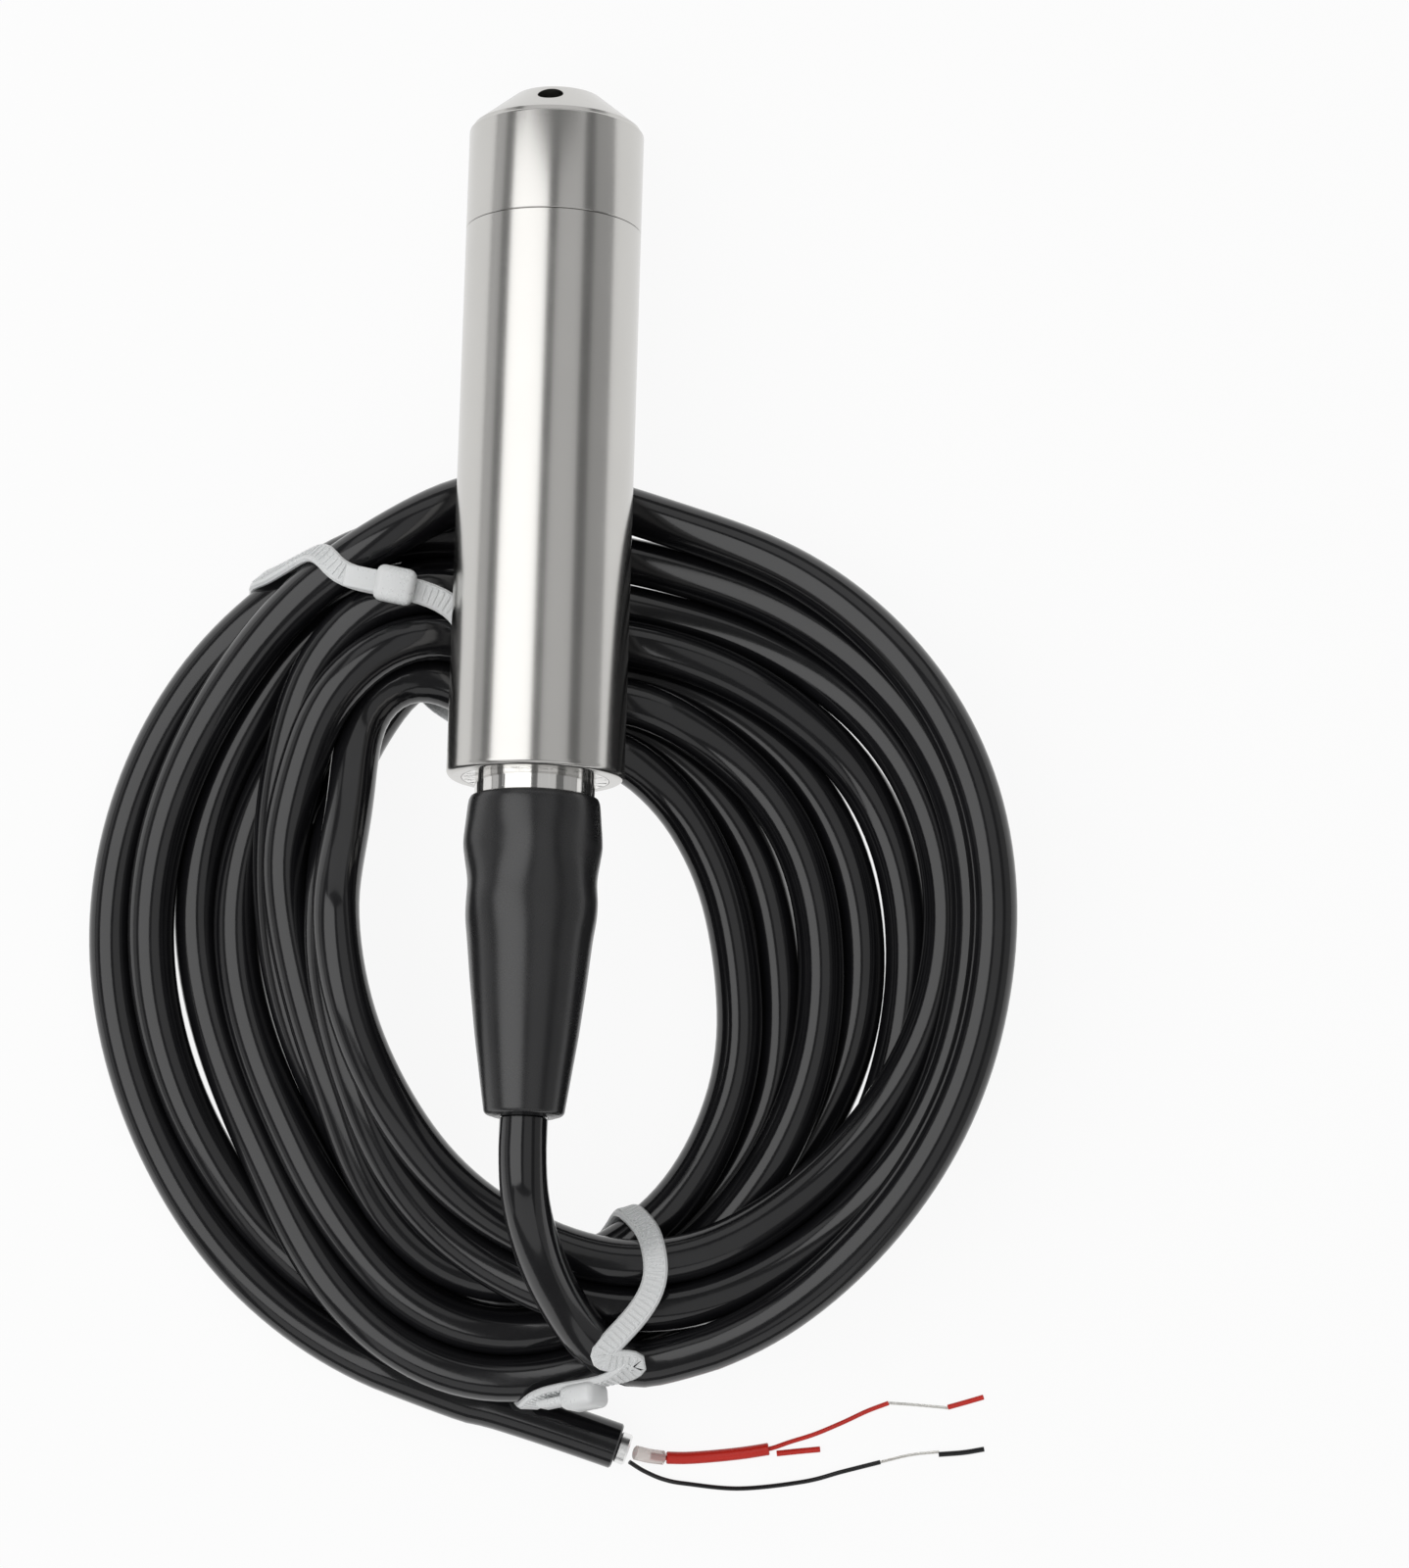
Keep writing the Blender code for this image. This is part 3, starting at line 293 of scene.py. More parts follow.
def new_object(name: str, mesh: bpy.types.Mesh, material: bpy.types.Material) -> bpy.types.Object:
    """Object at the origin with one material."""
    made = linked(name, mesh)
    mesh.materials.clear()
    mesh.materials.append(material)
    return made


def smooth(mesh: bpy.types.Mesh, edge: float = 30.0) -> None:
    """Shade a mesh smooth, with edges above an angle in degrees kept sharp."""
    mesh.shade_smooth()
    mesh.set_sharp_from_angle(angle=radians(edge))


def walk(line: np.ndarray) -> np.ndarray:
    """Distance along a line at each of its points."""
    return np.concatenate(([0.0], np.cumsum(np.linalg.norm(np.diff(line, axis=0), axis=1))))


def sample(line: np.ndarray, walked: np.ndarray, stops: np.ndarray) -> np.ndarray:
    """Rows of a line at given distances along it."""
    return np.column_stack([np.interp(stops, walked, line[:, axis]) for axis in range(3)])


def spaced(points: Sequence[Point] | np.ndarray, pitch: float, samples: int = 20) -> np.ndarray:
    """Points at an even pitch on a smooth curve through the points of a route.

    Args:
        points: The route's points, in metres.
        pitch: Distance between the returned points.
        samples: Curve samples between two points of the route.

    Returns:
        An array of points.
    """
    route = np.asarray(points, float)
    route = np.vstack([2 * route[0] - route[1], route, 2 * route[-1] - route[-2]])
    t = (np.arange(samples) / samples)[:, None, None]
    before, start, end, after = route[:-3], route[1:-2], route[2:-1], route[3:]
    dense = 0.5 * (2 * start + (end - before) * t
                   + (2 * before - 5 * start + 4 * end - after) * t ** 2
                   + (3 * start - before - 3 * end + after) * t ** 3)
    line = np.vstack([dense.transpose(1, 0, 2).reshape(-1, 3), route[-2]])
    walked = walk(line)
    count = max(FEWEST_POINTS, round(walked[-1] / pitch) + 1)
    return sample(line, walked, np.linspace(0.0, walked[-1], count))


def length_of(path: np.ndarray) -> float:
    """Length along a path."""
    return float(np.linalg.norm(np.diff(path, axis=0), axis=1).sum())


def tube_mesh(name: str, path: np.ndarray, radius: float, sides: int = 20,
              edge: float = 0.0) -> bpy.types.Mesh:
    """Round tube with closed ends along a path.

    Args:
        name: Name of the mesh.
        path: Points of the centreline.
        radius: Radius of the tube.
        sides: Faces round it.
        edge: Rounding of its cut ends.

    Returns:
        The mesh.
    """
    tangents = np.gradient(path, axis=0)
    tangents /= np.linalg.norm(tangents, axis=1)[:, None]
    normal = np.cross(tangents[0], (0.0, 0.0, 1.0) if abs(tangents[0][2]) < 0.9 else (1.0, 0, 0))
    turns = tau * np.arange(sides) / sides
    rings: list[np.ndarray] = []
    for index, (place, tangent) in enumerate(zip(path, tangents)):
        normal = normal - tangent * normal.dot(tangent)
        normal /= np.linalg.norm(normal)
        across = np.cross(tangent, normal)
        ring = np.outer(np.cos(turns), normal) + np.outer(np.sin(turns), across)
        if edge and index == 0:
            rings.append(place + ring * (radius - edge))
            rings.append(place + ring * radius + tangent * edge)
        elif edge and index == len(path) - 1:
            rings.append(place + ring * radius - tangent * edge)
            rings.append(place + ring * (radius - edge))
        else:
            rings.append(place + ring * radius)
    count = len(rings)
    faces = [tuple(reversed(range(sides))),
             tuple(range((count - 1) * sides, count * sides))]
    for row in range(count - 1):
        for side in range(sides):
            after = (side + 1) % sides
            faces.append((row * sides + side, row * sides + after,
                          (row + 1) * sides + after, (row + 1) * sides + side))
    return face_mesh(name, np.vstack(rings).tolist(), faces, 40.0)


def outward(mesh: bpy.types.Mesh) -> None:
    """Merge doubles and make the faces of a closed mesh point outwards."""
    form = bmesh.new()
    form.from_mesh(mesh)
    bmesh.ops.remove_doubles(form, verts=form.verts, dist=1e-7)
    bmesh.ops.recalc_face_normals(form, faces=form.faces)
    form.to_mesh(mesh)
    form.free()


def face_mesh(name: str, points: Sequence[Point], faces: Sequence[tuple[int, ...]],
              edge: float, place: Matrix | None = None) -> bpy.types.Mesh:
    """Closed smooth mesh, moved to a place, with edges above an angle in degrees sharp."""
    mesh = bpy.data.meshes.new(name)
    mesh.from_pydata(points, [], faces)
    if place is not None:
        mesh.transform(place)
    outward(mesh)
    smooth(mesh, edge)
    return mesh


def form_mesh(name: str, form: bmesh.types.BMesh, place: Matrix) -> bpy.types.Mesh:
    """Mesh of an edit mesh, moved to a place; the edit mesh is freed."""
    mesh = bpy.data.meshes.new(name)
    form.to_mesh(mesh)
    form.free()
    mesh.transform(place)
    return mesh


def plain_mesh(source: bpy.types.Object, name: str) -> bpy.types.Mesh:
    """Mesh of an object with its modifiers applied; the object is removed."""
    bpy.context.view_layer.update()
    graph = bpy.context.evaluated_depsgraph_get()
    mesh = bpy.data.meshes.new_from_object(source.evaluated_get(graph))
    mesh.name = name
    bpy.data.objects.remove(source, do_unlink=True)
    return mesh


def settle(piece: bpy.types.Object, slot: Slot, *nodes: str) -> bpy.types.Object:
    """Let a finished piece ride on the body and stand for CAD nodes."""
    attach(piece, BODY)
    if nodes:
        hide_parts(*nodes)
    LOG.info("%s: %d faces", piece.name, len(piece.data.polygons))
    return piece


# Geometry Nodes

class PatternTree:
    """A Geometry Nodes tree with named inputs, ended by Realize Instances and Set Material."""

    def __init__(self, name: str, inputs: dict[str, str]) -> None:
        """Open a tree.

        Args:
            name: Name of the tree.
            inputs: Socket type of each named input.
        """
        self.tree = bpy.data.node_groups.new(name, "GeometryNodeTree")
        face = self.tree.interface
        face.new_socket("Geometry", in_out="INPUT", socket_type="NodeSocketGeometry")
        self.sockets = {label: face.new_socket(label, in_out="INPUT", socket_type=kind)
                        for label, kind in inputs.items()}
        face.new_socket("Geometry", in_out="OUTPUT", socket_type="NodeSocketGeometry")
        self.bench = Bench(self.tree)
        self.entry = self.bench.node("NodeGroupInput")

    def input(self, label: str) -> bpy.types.NodeSocket:
        """Socket of a named input inside the tree."""
        return self.entry.outputs[label]

    def close(self, geometry: bpy.types.NodeSocket) -> None:
        """End the tree with Realize Instances and Set Material."""
        real = self.bench.node("GeometryNodeRealizeInstances", None, {"Geometry": geometry})
        dress = self.bench.node("GeometryNodeSetMaterial", None,
                                {"Geometry": real.outputs[0],
                                 "Material": self.input("Material")})
        self.bench.node("NodeGroupOutput", None, {0: dress.outputs[0]})

    def apply(self, base: bpy.types.Object, name: str, values: dict[str, Any]) -> bpy.types.Mesh:
        """Run the tree on an object and return the plain mesh.

        Args:
            base: The object that carries the pattern, removed afterwards.
            name: Name of the mesh.
            values: Value of each named input.

        Returns:
            The mesh.
        """
        modifier = base.modifiers.new("pattern", "NODES")
        modifier.node_group = self.tree
        for label, value in values.items():
            modifier[self.sockets[label].identifier] = value
        return plain_mesh(base, name)


def tooth_tree() -> PatternTree:
    """Tree that sets a small bar on every point, turned by the point's two directions."""
    made = PatternTree("strap_teeth", {"Length": "NodeSocketFloat", "Width": "NodeSocketFloat",
                                       "Height": "NodeSocketFloat",
                                       "Material": "NodeSocketMaterial"})
    bench = made.bench
    size = bench.node("ShaderNodeCombineXYZ", None,
                      {"X": made.input("Length"), "Y": made.input("Width"),
                       "Z": made.input("Height")})
    bar = bench.node("GeometryNodeMeshCube", None, {"Size": size.outputs[0]})
    named = [bench.node("GeometryNodeInputNamedAttribute", {"data_type": "FLOAT_VECTOR"},
                        {"Name": label}).outputs[0] for label in ("outward", "along")]
    turn = bench.node("FunctionNodeAxesToRotation", {"primary_axis": "Z", "secondary_axis": "X"},
                      {0: named[0], 1: named[1]})
    placed = bench.node("GeometryNodeInstanceOnPoints", None,
                        {"Points": made.input("Geometry"), "Instance": bar.outputs[0],
                         "Rotation": turn.outputs[0]})
    made.close(placed.outputs[0])
    return made


def strand_tree(sides: int = 8) -> PatternTree:
    """Tree that lays twisted wires along a curve."""
    made = PatternTree("twisted_strands",
                       {"Count": "NodeSocketInt", "Lay Radius": "NodeSocketFloat",
                        "Wire Radius": "NodeSocketFloat", "Twist": "NodeSocketFloat",
                        "Material": "NodeSocketMaterial"})
    bench = made.bench
    copies = bench.node("GeometryNodeDuplicateElements", {"domain": "SPLINE"},
                        {"Geometry": made.input("Geometry"), "Amount": made.input("Count")})
    index = Value(bench, copies.outputs[1])
    count = Value(bench, made.input("Count"))
    walked = Value(bench, bench.node("GeometryNodeSplineParameter").outputs["Length"])
    angle = index / count * tau + walked * Value(bench, made.input("Twist"))
    normal = bench.node("GeometryNodeInputNormal").outputs[0]
    tangent = bench.node("GeometryNodeInputTangent").outputs[0]
    across = bench.node("ShaderNodeVectorMath", {"operation": "CROSS_PRODUCT"},
                        {0: tangent, 1: normal}).outputs[0]
    parts = []
    for direction, wave in ((normal, "COSINE"), (across, "SINE")):
        reach = angle.wave(wave) * Value(bench, made.input("Lay Radius"))
        parts.append(bench.node("ShaderNodeVectorMath", {"operation": "SCALE"},
                                {0: direction, "Scale": reach}).outputs[0])
    shift = bench.node("ShaderNodeVectorMath", {"operation": "ADD"},
                       {0: parts[0], 1: parts[1]}).outputs[0]
    moved = bench.node("GeometryNodeSetPosition", None,
                       {"Geometry": copies.outputs[0], "Offset": shift})
    ring = bench.node("GeometryNodeCurvePrimitiveCircle", None,
                      {"Resolution": sides, "Radius": made.input("Wire Radius")})
    solid = bench.node("GeometryNodeCurveToMesh", None,
                       {"Curve": moved.outputs[0], "Profile Curve": ring.outputs[0],
                        "Fill Caps": True})
    made.close(solid.outputs[0])
    return made


# Probe

@dataclass(frozen=True)
class Lie:
    """Where the probe's axis lies: its local Z runs from the nose shoulder to the tail."""

    shoulder: Vector
    tilt: float

    @property
    def axis(self) -> Vector:
        """Direction from the nose to the tail."""
        return Vector((0.0, -cos(self.tilt), sin(self.tilt)))

    @property
    def matrix(self) -> Matrix:
        """Turn and place of the probe."""
        return (Matrix.Translation(self.shoulder)
                @ Matrix.Rotation(pi / 2 - self.tilt, 4, "X"))

    def at(self, distance: float) -> Vector:
        """Point on the axis, a distance behind the shoulder."""
        return self.shoulder + self.axis * distance


@dataclass
class Probe:
    """Steel body with its nose cap, gland neck and moulded boot."""

    tilt: float = radians(10.3)
    gap: float = 0.3 * MM
    chamfer: float = 0.1 * MM
    body_radius: float = 13.0 * MM
    body_length: float = 98.0 * MM
    wall: float = 2.2 * MM
    nose_edge: float = 0.4 * MM
    tail_edge: float = 1.0 * MM
    cap_length: float = 15.0 * MM
    cap_floor: float = 0.9 * MM
    chamber_radius: float = 9.0 * MM
    chamber_depth: float = 5.4 * MM
    spigot_radius: float = 11.3 * MM
    seam: float = 0.07 * MM
    cone_height: float = 5.3 * MM
    cone_step: tuple[float, float] = (0.125 * MM, 0.5 * MM)
    face_radius: float = 6.7 * MM
    face_edge: float = 0.25 * MM
    inlet_radius: float = 2.2 * MM
    inlet_edge: float = 0.15 * MM
    drain_radius: float = 1.9 * MM
    drain_place: float = 8.9 * MM
    drain_reach: float = 11.7 * MM
    drain_turn: float = radians(95.6)
    drain_count: int = 4
    neck_radius: float = 8.8 * MM
    neck_length: float = 2.4 * MM
    neck_bore: float = 7.0 * MM
    neck_tube: tuple[float, float] = (8.0 * MM, 4.0 * MM)
    flange_depth: float = 3.0 * MM
    boot_bore: float = 8.4 * MM
    boot_close: float = 18.5 * MM
    boot_taper: float = 8.0 * MM
    boot_pitch: float = 0.5 * MM
    boot_edge: float = 0.9 * MM
    hole_edge: float = 0.6 * MM
    bore_skin: float = 0.1 * MM
    cable_hole: float = 3.56 * MM
    boot_outline: tuple[tuple[float, float], ...] = (
        (0.0, 8.9), (0.9, 9.6), (6.4, 9.9), (9.0, 9.7), (12.4, 9.4), (15.6, 9.55),
        (18.0, 9.5), (21.2, 9.1), (26.9, 8.5), (31.0, 8.0), (35.0, 7.5), (39.0, 6.9),
        (43.0, 6.3), (45.6, 5.9), (46.7, 5.1))
    boot_dents: tuple[tuple[float, float, int, float, float], ...] = (
        (7.5, 3.6, 4, 0.5, 0.26), (15.0, 3.4, 3, -0.9, 0.24))
    facets: int = 160
    lie: Lie = field(init=False)
    boot_front: float = field(init=False)
    boot_back: float = field(init=False)

    def __post_init__(self) -> None:
        """Work out where the probe lies from its sizes."""
        boot_length, boot_end = (part * MM for part in self.boot_outline[-1])
        self.boot_front = self.body_length + self.neck_length + self.gap
        self.boot_back = self.boot_front + boot_length
        nose = self.cone_height * cos(self.tilt) + self.face_radius * sin(self.tilt)
        tail = self.boot_back * cos(self.tilt) + boot_end * sin(self.tilt)
        height = ((self.body_radius - self.nose_edge) * cos(self.tilt)
                  + self.nose_edge - self.nose_edge * sin(self.tilt))
        self.lie = Lie(Vector((0.0, (tail - nose) / 2, height)), self.tilt)

    def turned(self, name: str, outline: Sequence[tuple[float, float]],
               edge: float = 25.0) -> bpy.types.Mesh:
        """Turn a closed outline of (radius, distance) about the probe's axis.

        Args:
            name: Name of the mesh.
            outline: Corners of the section, in order round it.
            edge: Angle in degrees above which an edge stays sharp.

        Returns:
            The mesh, in its place.
        """
        turns = tau * np.arange(self.facets) / self.facets
        rows = len(outline)
        points = [(radius * cos(turn), radius * sin(turn), distance)
                  for turn in turns for radius, distance in outline]
        faces = []
        for ring in range(self.facets):
            after = (ring + 1) % self.facets
            for row in range(rows):
                below = (row + 1) % rows
                faces.append((ring * rows + row, after * rows + row,
                              after * rows + below, ring * rows + below))
        return face_mesh(name, points, faces, edge, self.lie.matrix)

    @staticmethod
    def rounded(corner: tuple[float, float], size: float, start: float,
                end: float, steps: int = 6) -> list[tuple[float, float]]:
        """Points of an arc round a centre, between two angles in degrees."""
        return [(corner[0] + size * cos(radians(start + (end - start) * step / steps)),
                 corner[1] + size * sin(radians(start + (end - start) * step / steps)))
                for step in range(steps + 1)]

    def nose_cap(self) -> bpy.types.Object:
        """Nose cap with its inlet and its drilled drain holes."""
        edge = self.nose_edge
        corner = self.body_radius - edge
        stop = self.cap_floor + self.chamber_depth
        skirt = self.spigot_radius + self.gap
        back = self.cap_length + self.gap - self.seam
        outline = [(self.body_radius - self.chamfer, back),
                   (self.body_radius, back - self.chamfer)]
        outline += self.rounded((corner, edge), edge, 0.0, -90.0)
        outline += [(corner - self.cone_step[0], -self.cone_step[1])]
        outline += self.rounded((self.face_radius - self.face_edge,
                                 -self.cone_height + self.face_edge),
                                self.face_edge, -50.0, -90.0, 3)
        outline += [(self.inlet_radius + self.inlet_edge, -self.cone_height),
                    (self.inlet_radius, -self.cone_height + self.inlet_edge),
                    (self.inlet_radius, self.cap_floor), (self.chamber_radius, self.cap_floor),
                    (self.chamber_radius, stop), (skirt, stop), (skirt, back)]
        material = TurnedSteel().material("nose_cap_steel", self.lie.axis)
        work = new_object("nose_cap_blank", self.turned("nose_cap_blank", outline), material)
        drills = self.drills(corner)
        for drill in drills:
            cut = work.modifiers.new(drill.name, "BOOLEAN")
            cut.operation = "DIFFERENCE"
            cut.solver = "EXACT"
            cut.object = drill
        mesh = plain_mesh(work, "nose_cap_turned")
        for drill in drills:
            bpy.data.objects.remove(drill, do_unlink=True)
        outward(mesh)
        smooth(mesh, 25.0)
        return settle(new_object("nose_cap_turned", mesh, material), Slot.STEEL, "nose_cap")

    def drills(self, corner: float) -> list[bpy.types.Object]:
        """Cylinders that open the drain holes, square to the cone."""
        slope = Vector((self.cone_height - self.cone_step[1], 0.0,
                        -(corner - self.face_radius))).normalized()
        share = (corner - self.drain_place) / (corner - self.face_radius)
        depth = -self.cone_step[1] - share * (self.cone_height - self.cone_step[1])
        aim = Vector((0, 0, 1)).rotation_difference(slope).to_matrix().to_4x4()
        seat = Matrix.Translation((self.drain_place, 0.0, depth))
        made = []
        for index in range(self.drain_count):
            form = bmesh.new()
            bmesh.ops.create_cone(form, cap_ends=True, segments=48, radius1=self.drain_radius,
                                  radius2=self.drain_radius, depth=self.drain_reach)
            spin = Matrix.Rotation(self.drain_turn + index * tau / self.drain_count, 4, "Z")
            mesh = form_mesh(f"drain_drill_{index + 1}", form,
                             self.lie.matrix @ spin @ seat @ aim)
            drill = linked(mesh.name, mesh)
            drill.hide_render = True
            made.append(drill)
        return made

    def housing(self) -> bpy.types.Object:
        """Steel tube behind the cap, open at both ends."""
        bore = self.body_radius - self.wall
        edge = self.tail_edge
        front = self.cap_length + self.gap
        spigot_front = self.cap_floor + self.chamber_depth + self.gap
        outline = [(bore, self.body_length)]
        outline += self.rounded((self.body_radius - edge, self.body_length - edge), edge,
                                90.0, 0.0, 8)
        outline += [(self.body_radius, front + self.chamfer),
                    (self.body_radius - self.chamfer, front),
                    (self.spigot_radius, front), (self.spigot_radius, spigot_front),
                    (bore, spigot_front)]
        material = TurnedSteel().material("housing_steel", self.lie.axis)
        made = new_object("housing_turned", self.turned("housing_turned", outline), material)
        return settle(made, Slot.STEEL, "housing_tube")

    def gland_neck(self) -> bpy.types.Object:
        """Bright neck that shows between the body and the boot, with its flange inside."""
        flange = self.body_radius - self.wall - self.gap / 4
        front, back = self.body_length - self.flange_depth, self.boot_front
        tube, length = self.neck_tube
        outline = [(self.neck_bore, back + length), (tube, back + length), (tube, back),
                   (self.neck_radius, back), (self.neck_radius, self.body_length),
                   (flange, self.body_length), (flange, front), (self.neck_bore, front)]
        material = NECK_STEEL.material("neck_steel", self.lie.axis)
        made = new_object("gland_neck_bright", self.turned("gland_neck_bright", outline),
                          material)
        return settle(made, Slot.BRIGHT_STEEL)

    def boot(self) -> bpy.types.Object:
        """Moulded boot with its soft swell, its lip and its rounded end."""
        points = [(radius * MM, 0.0, distance * MM) for distance, radius in self.boot_outline]
        curve = spaced(points[:-1], self.boot_pitch)
        end_distance, end_radius = (part * MM for part in self.boot_outline[-1])
        outline = [(place[0], self.boot_front + place[2]) for place in curve]
        radius, distance = outline[-1]
        outline += self.rounded((radius - self.boot_edge, distance), self.boot_edge,
                                20.0, 90.0, 5)
        outline += [(end_radius - self.hole_edge, self.boot_front + end_distance),
                    (self.cable_hole, self.boot_front + end_distance),
                    (self.cable_hole, self.boot_front + self.boot_close + self.boot_taper),
                    (self.boot_bore, self.boot_front + self.boot_close),
                    (self.boot_bore, self.boot_front)]
        mesh = self.turned("gland_boot_moulded", outline, 35.0)
        self.dent(mesh)
        made = new_object("gland_boot_moulded", mesh, BOOT.material("boot_rubber"))
        return settle(made, Slot.RUBBER, "gland_boot")

    def dent(self, mesh: bpy.types.Mesh) -> None:
        """Press the soft, uneven dents of the moulding into the boot's outside."""
        back = self.lie.matrix.inverted()
        for vertex in mesh.vertices:
            place = back @ vertex.co
            radius, turn = hypot(place.x, place.y), atan2(place.y, place.x)
            if radius < self.boot_bore + self.bore_skin:
                continue
            swell = 0.0
            for middle, reach, waves, start, height in self.boot_dents:
                along = (place.z - self.boot_front) / MM - middle
                swell += height * exp(-(along / reach) ** 2) * cos(waves * turn + start)
            place.xy *= 1.0 + swell * MM / radius
            vertex.co = self.lie.matrix @ place

    def build(self) -> None:
        """Build the visible pieces of the probe."""
        self.nose_cap()
        self.housing()
        self.gland_neck()
        self.boot()


# Cable

@dataclass(frozen=True)
class Station:
    """Lie of the eight strands at one angle round the coil, in degrees and millimetres."""

    angle: float
    radii: tuple[float, ...]
    heights: tuple[float, ...]


@dataclass
class Cable:
    """Vented cable: run from the boot, eight turns in a tied coil, and the tail.

    Strands on the coil's right side are counted from the outside in, and on its left side
    from the inside out. Each turn takes one lane on either side.
    """

    diameter: float = 7.0 * MM
    centre: tuple[float, float] = (2.0 * MM, -50.3 * MM)
    steps: int = 96
    start: float = 285.0
    end: float = 261.0
    rounds: int = 1000
    last_rounds: int = 400
    stiffness: float = 0.045
    push: float = 0.22
    evening: tuple[float, float] = (0.18, 0.04)
    hold: tuple[float, float, float] = (0.030, 0.030, 0.014)
    hidden: tuple[float, float, float] = (92.0, 12.0, 14.0)
    lag_reach: int = 7
    air: float = 0.05 * MM
    body_air: float = 0.1 * MM
    pitch: float = 2.1 * MM
    cut_edge: float = 0.25 * MM
    first: tuple[float, float] = (64.3, 20.4)
    last: tuple[float, float] = (71.0, 3.5)
    tie_lift: float = 1.9 * MM
    tie_flat: float = 1.6
    tie_angles: tuple[float, float] = (119.5, 279.5)
    tie_span: float = 24.0
    lead_in_straight: float = 5.0 * MM
    lead_in: tuple[Point, ...] = (
        (0.4, -86.2, 38.9), (1.6, -92.2, 35.6), (3.6, -98.2, 31.0), (6.4, -103.8, 26.3),
        (10.0, -108.8, 22.7), (14.2, -111.8, 20.9), (18.6, -112.4, 20.4))
    tail: tuple[Point, ...] = (
        (-9.2, -120.4, 3.5), (-5.0, -121.3, 3.5), (0.0, -122.7, 3.5), (5.0, -124.2, 3.5),
        (9.8, -125.7, 3.5), (14.2, -127.1, 3.5))
    right_lanes: tuple[int, ...] = (0, 4, 5, 7, 2, 3, 6, 1)
    left_lanes: tuple[int, ...] = (6, 4, 2, 0, 5, 3, 1, 7)
    right: tuple[Station, ...] = (
        Station(289, (64.4, 57.5, 50.5, 61.0, 57.5, 54.0, 50.5, 47.0),
                (20.4, 17.5, 17.5, 11.4, 5.4, 11.4, 5.4, 11.4)),
        Station(318, (64.0, 60.5, 54.5, 58.0, 50.5, 47.0, 43.0, 37.5),
                (20.6, 14.6, 13.0, 7.6, 4.2, 10.0, 4.0, 6.5)),
        Station(349, (64.8, 62.0, 59.2, 54.7, 47.9, 41.6, 35.4, 29.4),
                (21.6, 15.8, 9.9, 4.8, 3.5, 6.3, 3.5, 6.8)),
        Station(390, (67.0, 63.6, 58.8, 52.3, 45.6, 39.3, 33.2, 27.4),
                (18.4, 12.6, 7.8, 5.2, 3.5, 6.5, 3.5, 7.0)),
        Station(415, (65.0, 59.5, 53.0, 47.8, 43.2, 38.2, 34.0, 29.5),
                (10.5, 7.0, 4.5, 8.4, 4.0, 6.6, 3.6, 7.5)),
        Station(434, (62.0, 55.9, 49.3, 45.4, 42.2, 38.5, 35.1, 31.6),
                (6.5, 4.5, 3.6, 9.8, 3.5, 9.8, 3.5, 9.6)))
    left: tuple[Station, ...] = (
        Station(452, (31.5, 34.8, 38.4, 45.3, 41.8, 48.8, 62.9, 55.8),
                (9.6, 3.5, 9.8, 9.8, 3.5, 3.5, 3.5, 3.5)),
        Station(474, (46.4, 46.6, 50.4, 56.8, 53.6, 56.0, 60.4, 62.9),
                (11.6, 5.4, 17.9, 17.5, 11.6, 5.4, 11.6, 5.4)),
        Station(490, (45.0, 43.1, 49.0, 54.2, 51.0, 57.0, 60.5, 63.8),
                (13.0, 6.5, 18.3, 15.0, 9.0, 4.6, 11.0, 4.6)),
        Station(503, (37.6, 40.4, 43.6, 49.0, 49.5, 55.0, 60.0, 64.8),
                (18.5, 11.8, 17.8, 13.2, 6.2, 3.9, 8.6, 3.7)),
        Station(532, (31.4, 34.2, 37.0, 42.0, 47.2, 53.5, 59.8, 65.8),
                (29.5, 23.3, 17.0, 12.0, 7.6, 3.9, 7.3, 3.5)),
        Station(575, (31.4, 34.4, 37.4, 42.3, 47.4, 53.7, 59.8, 65.8),
                (28.0, 22.3, 16.6, 12.0, 7.7, 3.9, 7.3, 3.5)),
        Station(623, (42.4, 49.1, 53.0, 56.5, 60.0, 66.5, 63.5, 71.0),
                (19.0, 16.0, 10.0, 4.5, 10.5, 10.0, 4.5, 3.5)))
    path: np.ndarray = field(init=False)

    def knots(self) -> np.ndarray:
        """Angle, radius and height of every station that the cable passes, in order."""
        rows = [(self.start, *self.first)]
        for turn, (right, left) in enumerate(zip(self.right_lanes, self.left_lanes)):
            for stations, lane in ((self.right, right), (self.left, left)):
                rows += [(station.angle + 360.0 * turn, station.radii[lane],
                          station.heights[lane]) for station in stations]
        rows[-1] = (self.end + 360.0 * len(self.right_lanes), *self.last)
        return np.array(rows)

    @staticmethod
    def hermite(knots: np.ndarray, values: np.ndarray, at: np.ndarray) -> np.ndarray:
        """Smooth values between unevenly spaced knots."""
        slopes = np.gradient(values, knots)
        index = np.clip(np.searchsorted(knots, at, side="right") - 1, 0, len(knots) - 2)
        gap = knots[index + 1] - knots[index]
        t = (at - knots[index]) / gap
        return ((2 * t ** 3 - 3 * t ** 2 + 1) * values[index]
                + (t ** 3 - 2 * t ** 2 + t) * gap * slopes[index]
                + (3 * t ** 2 - 2 * t ** 3) * values[index + 1]
                + (t ** 3 - t ** 2) * gap * slopes[index + 1])

    def floor(self, degrees_round: np.ndarray) -> np.ndarray:
        """Lowest height of the cable's middle, raised where a tie passes under it."""
        lift = np.zeros_like(degrees_round)
        for tie in self.tie_angles:
            away = (degrees_round - tie + 180.0) % 360.0 - 180.0
            near = np.minimum(1.0, self.tie_flat * np.exp(-(away / self.tie_span) ** 2))
            lift = np.maximum(lift, self.tie_lift * near)
        return self.diameter / 2 + lift

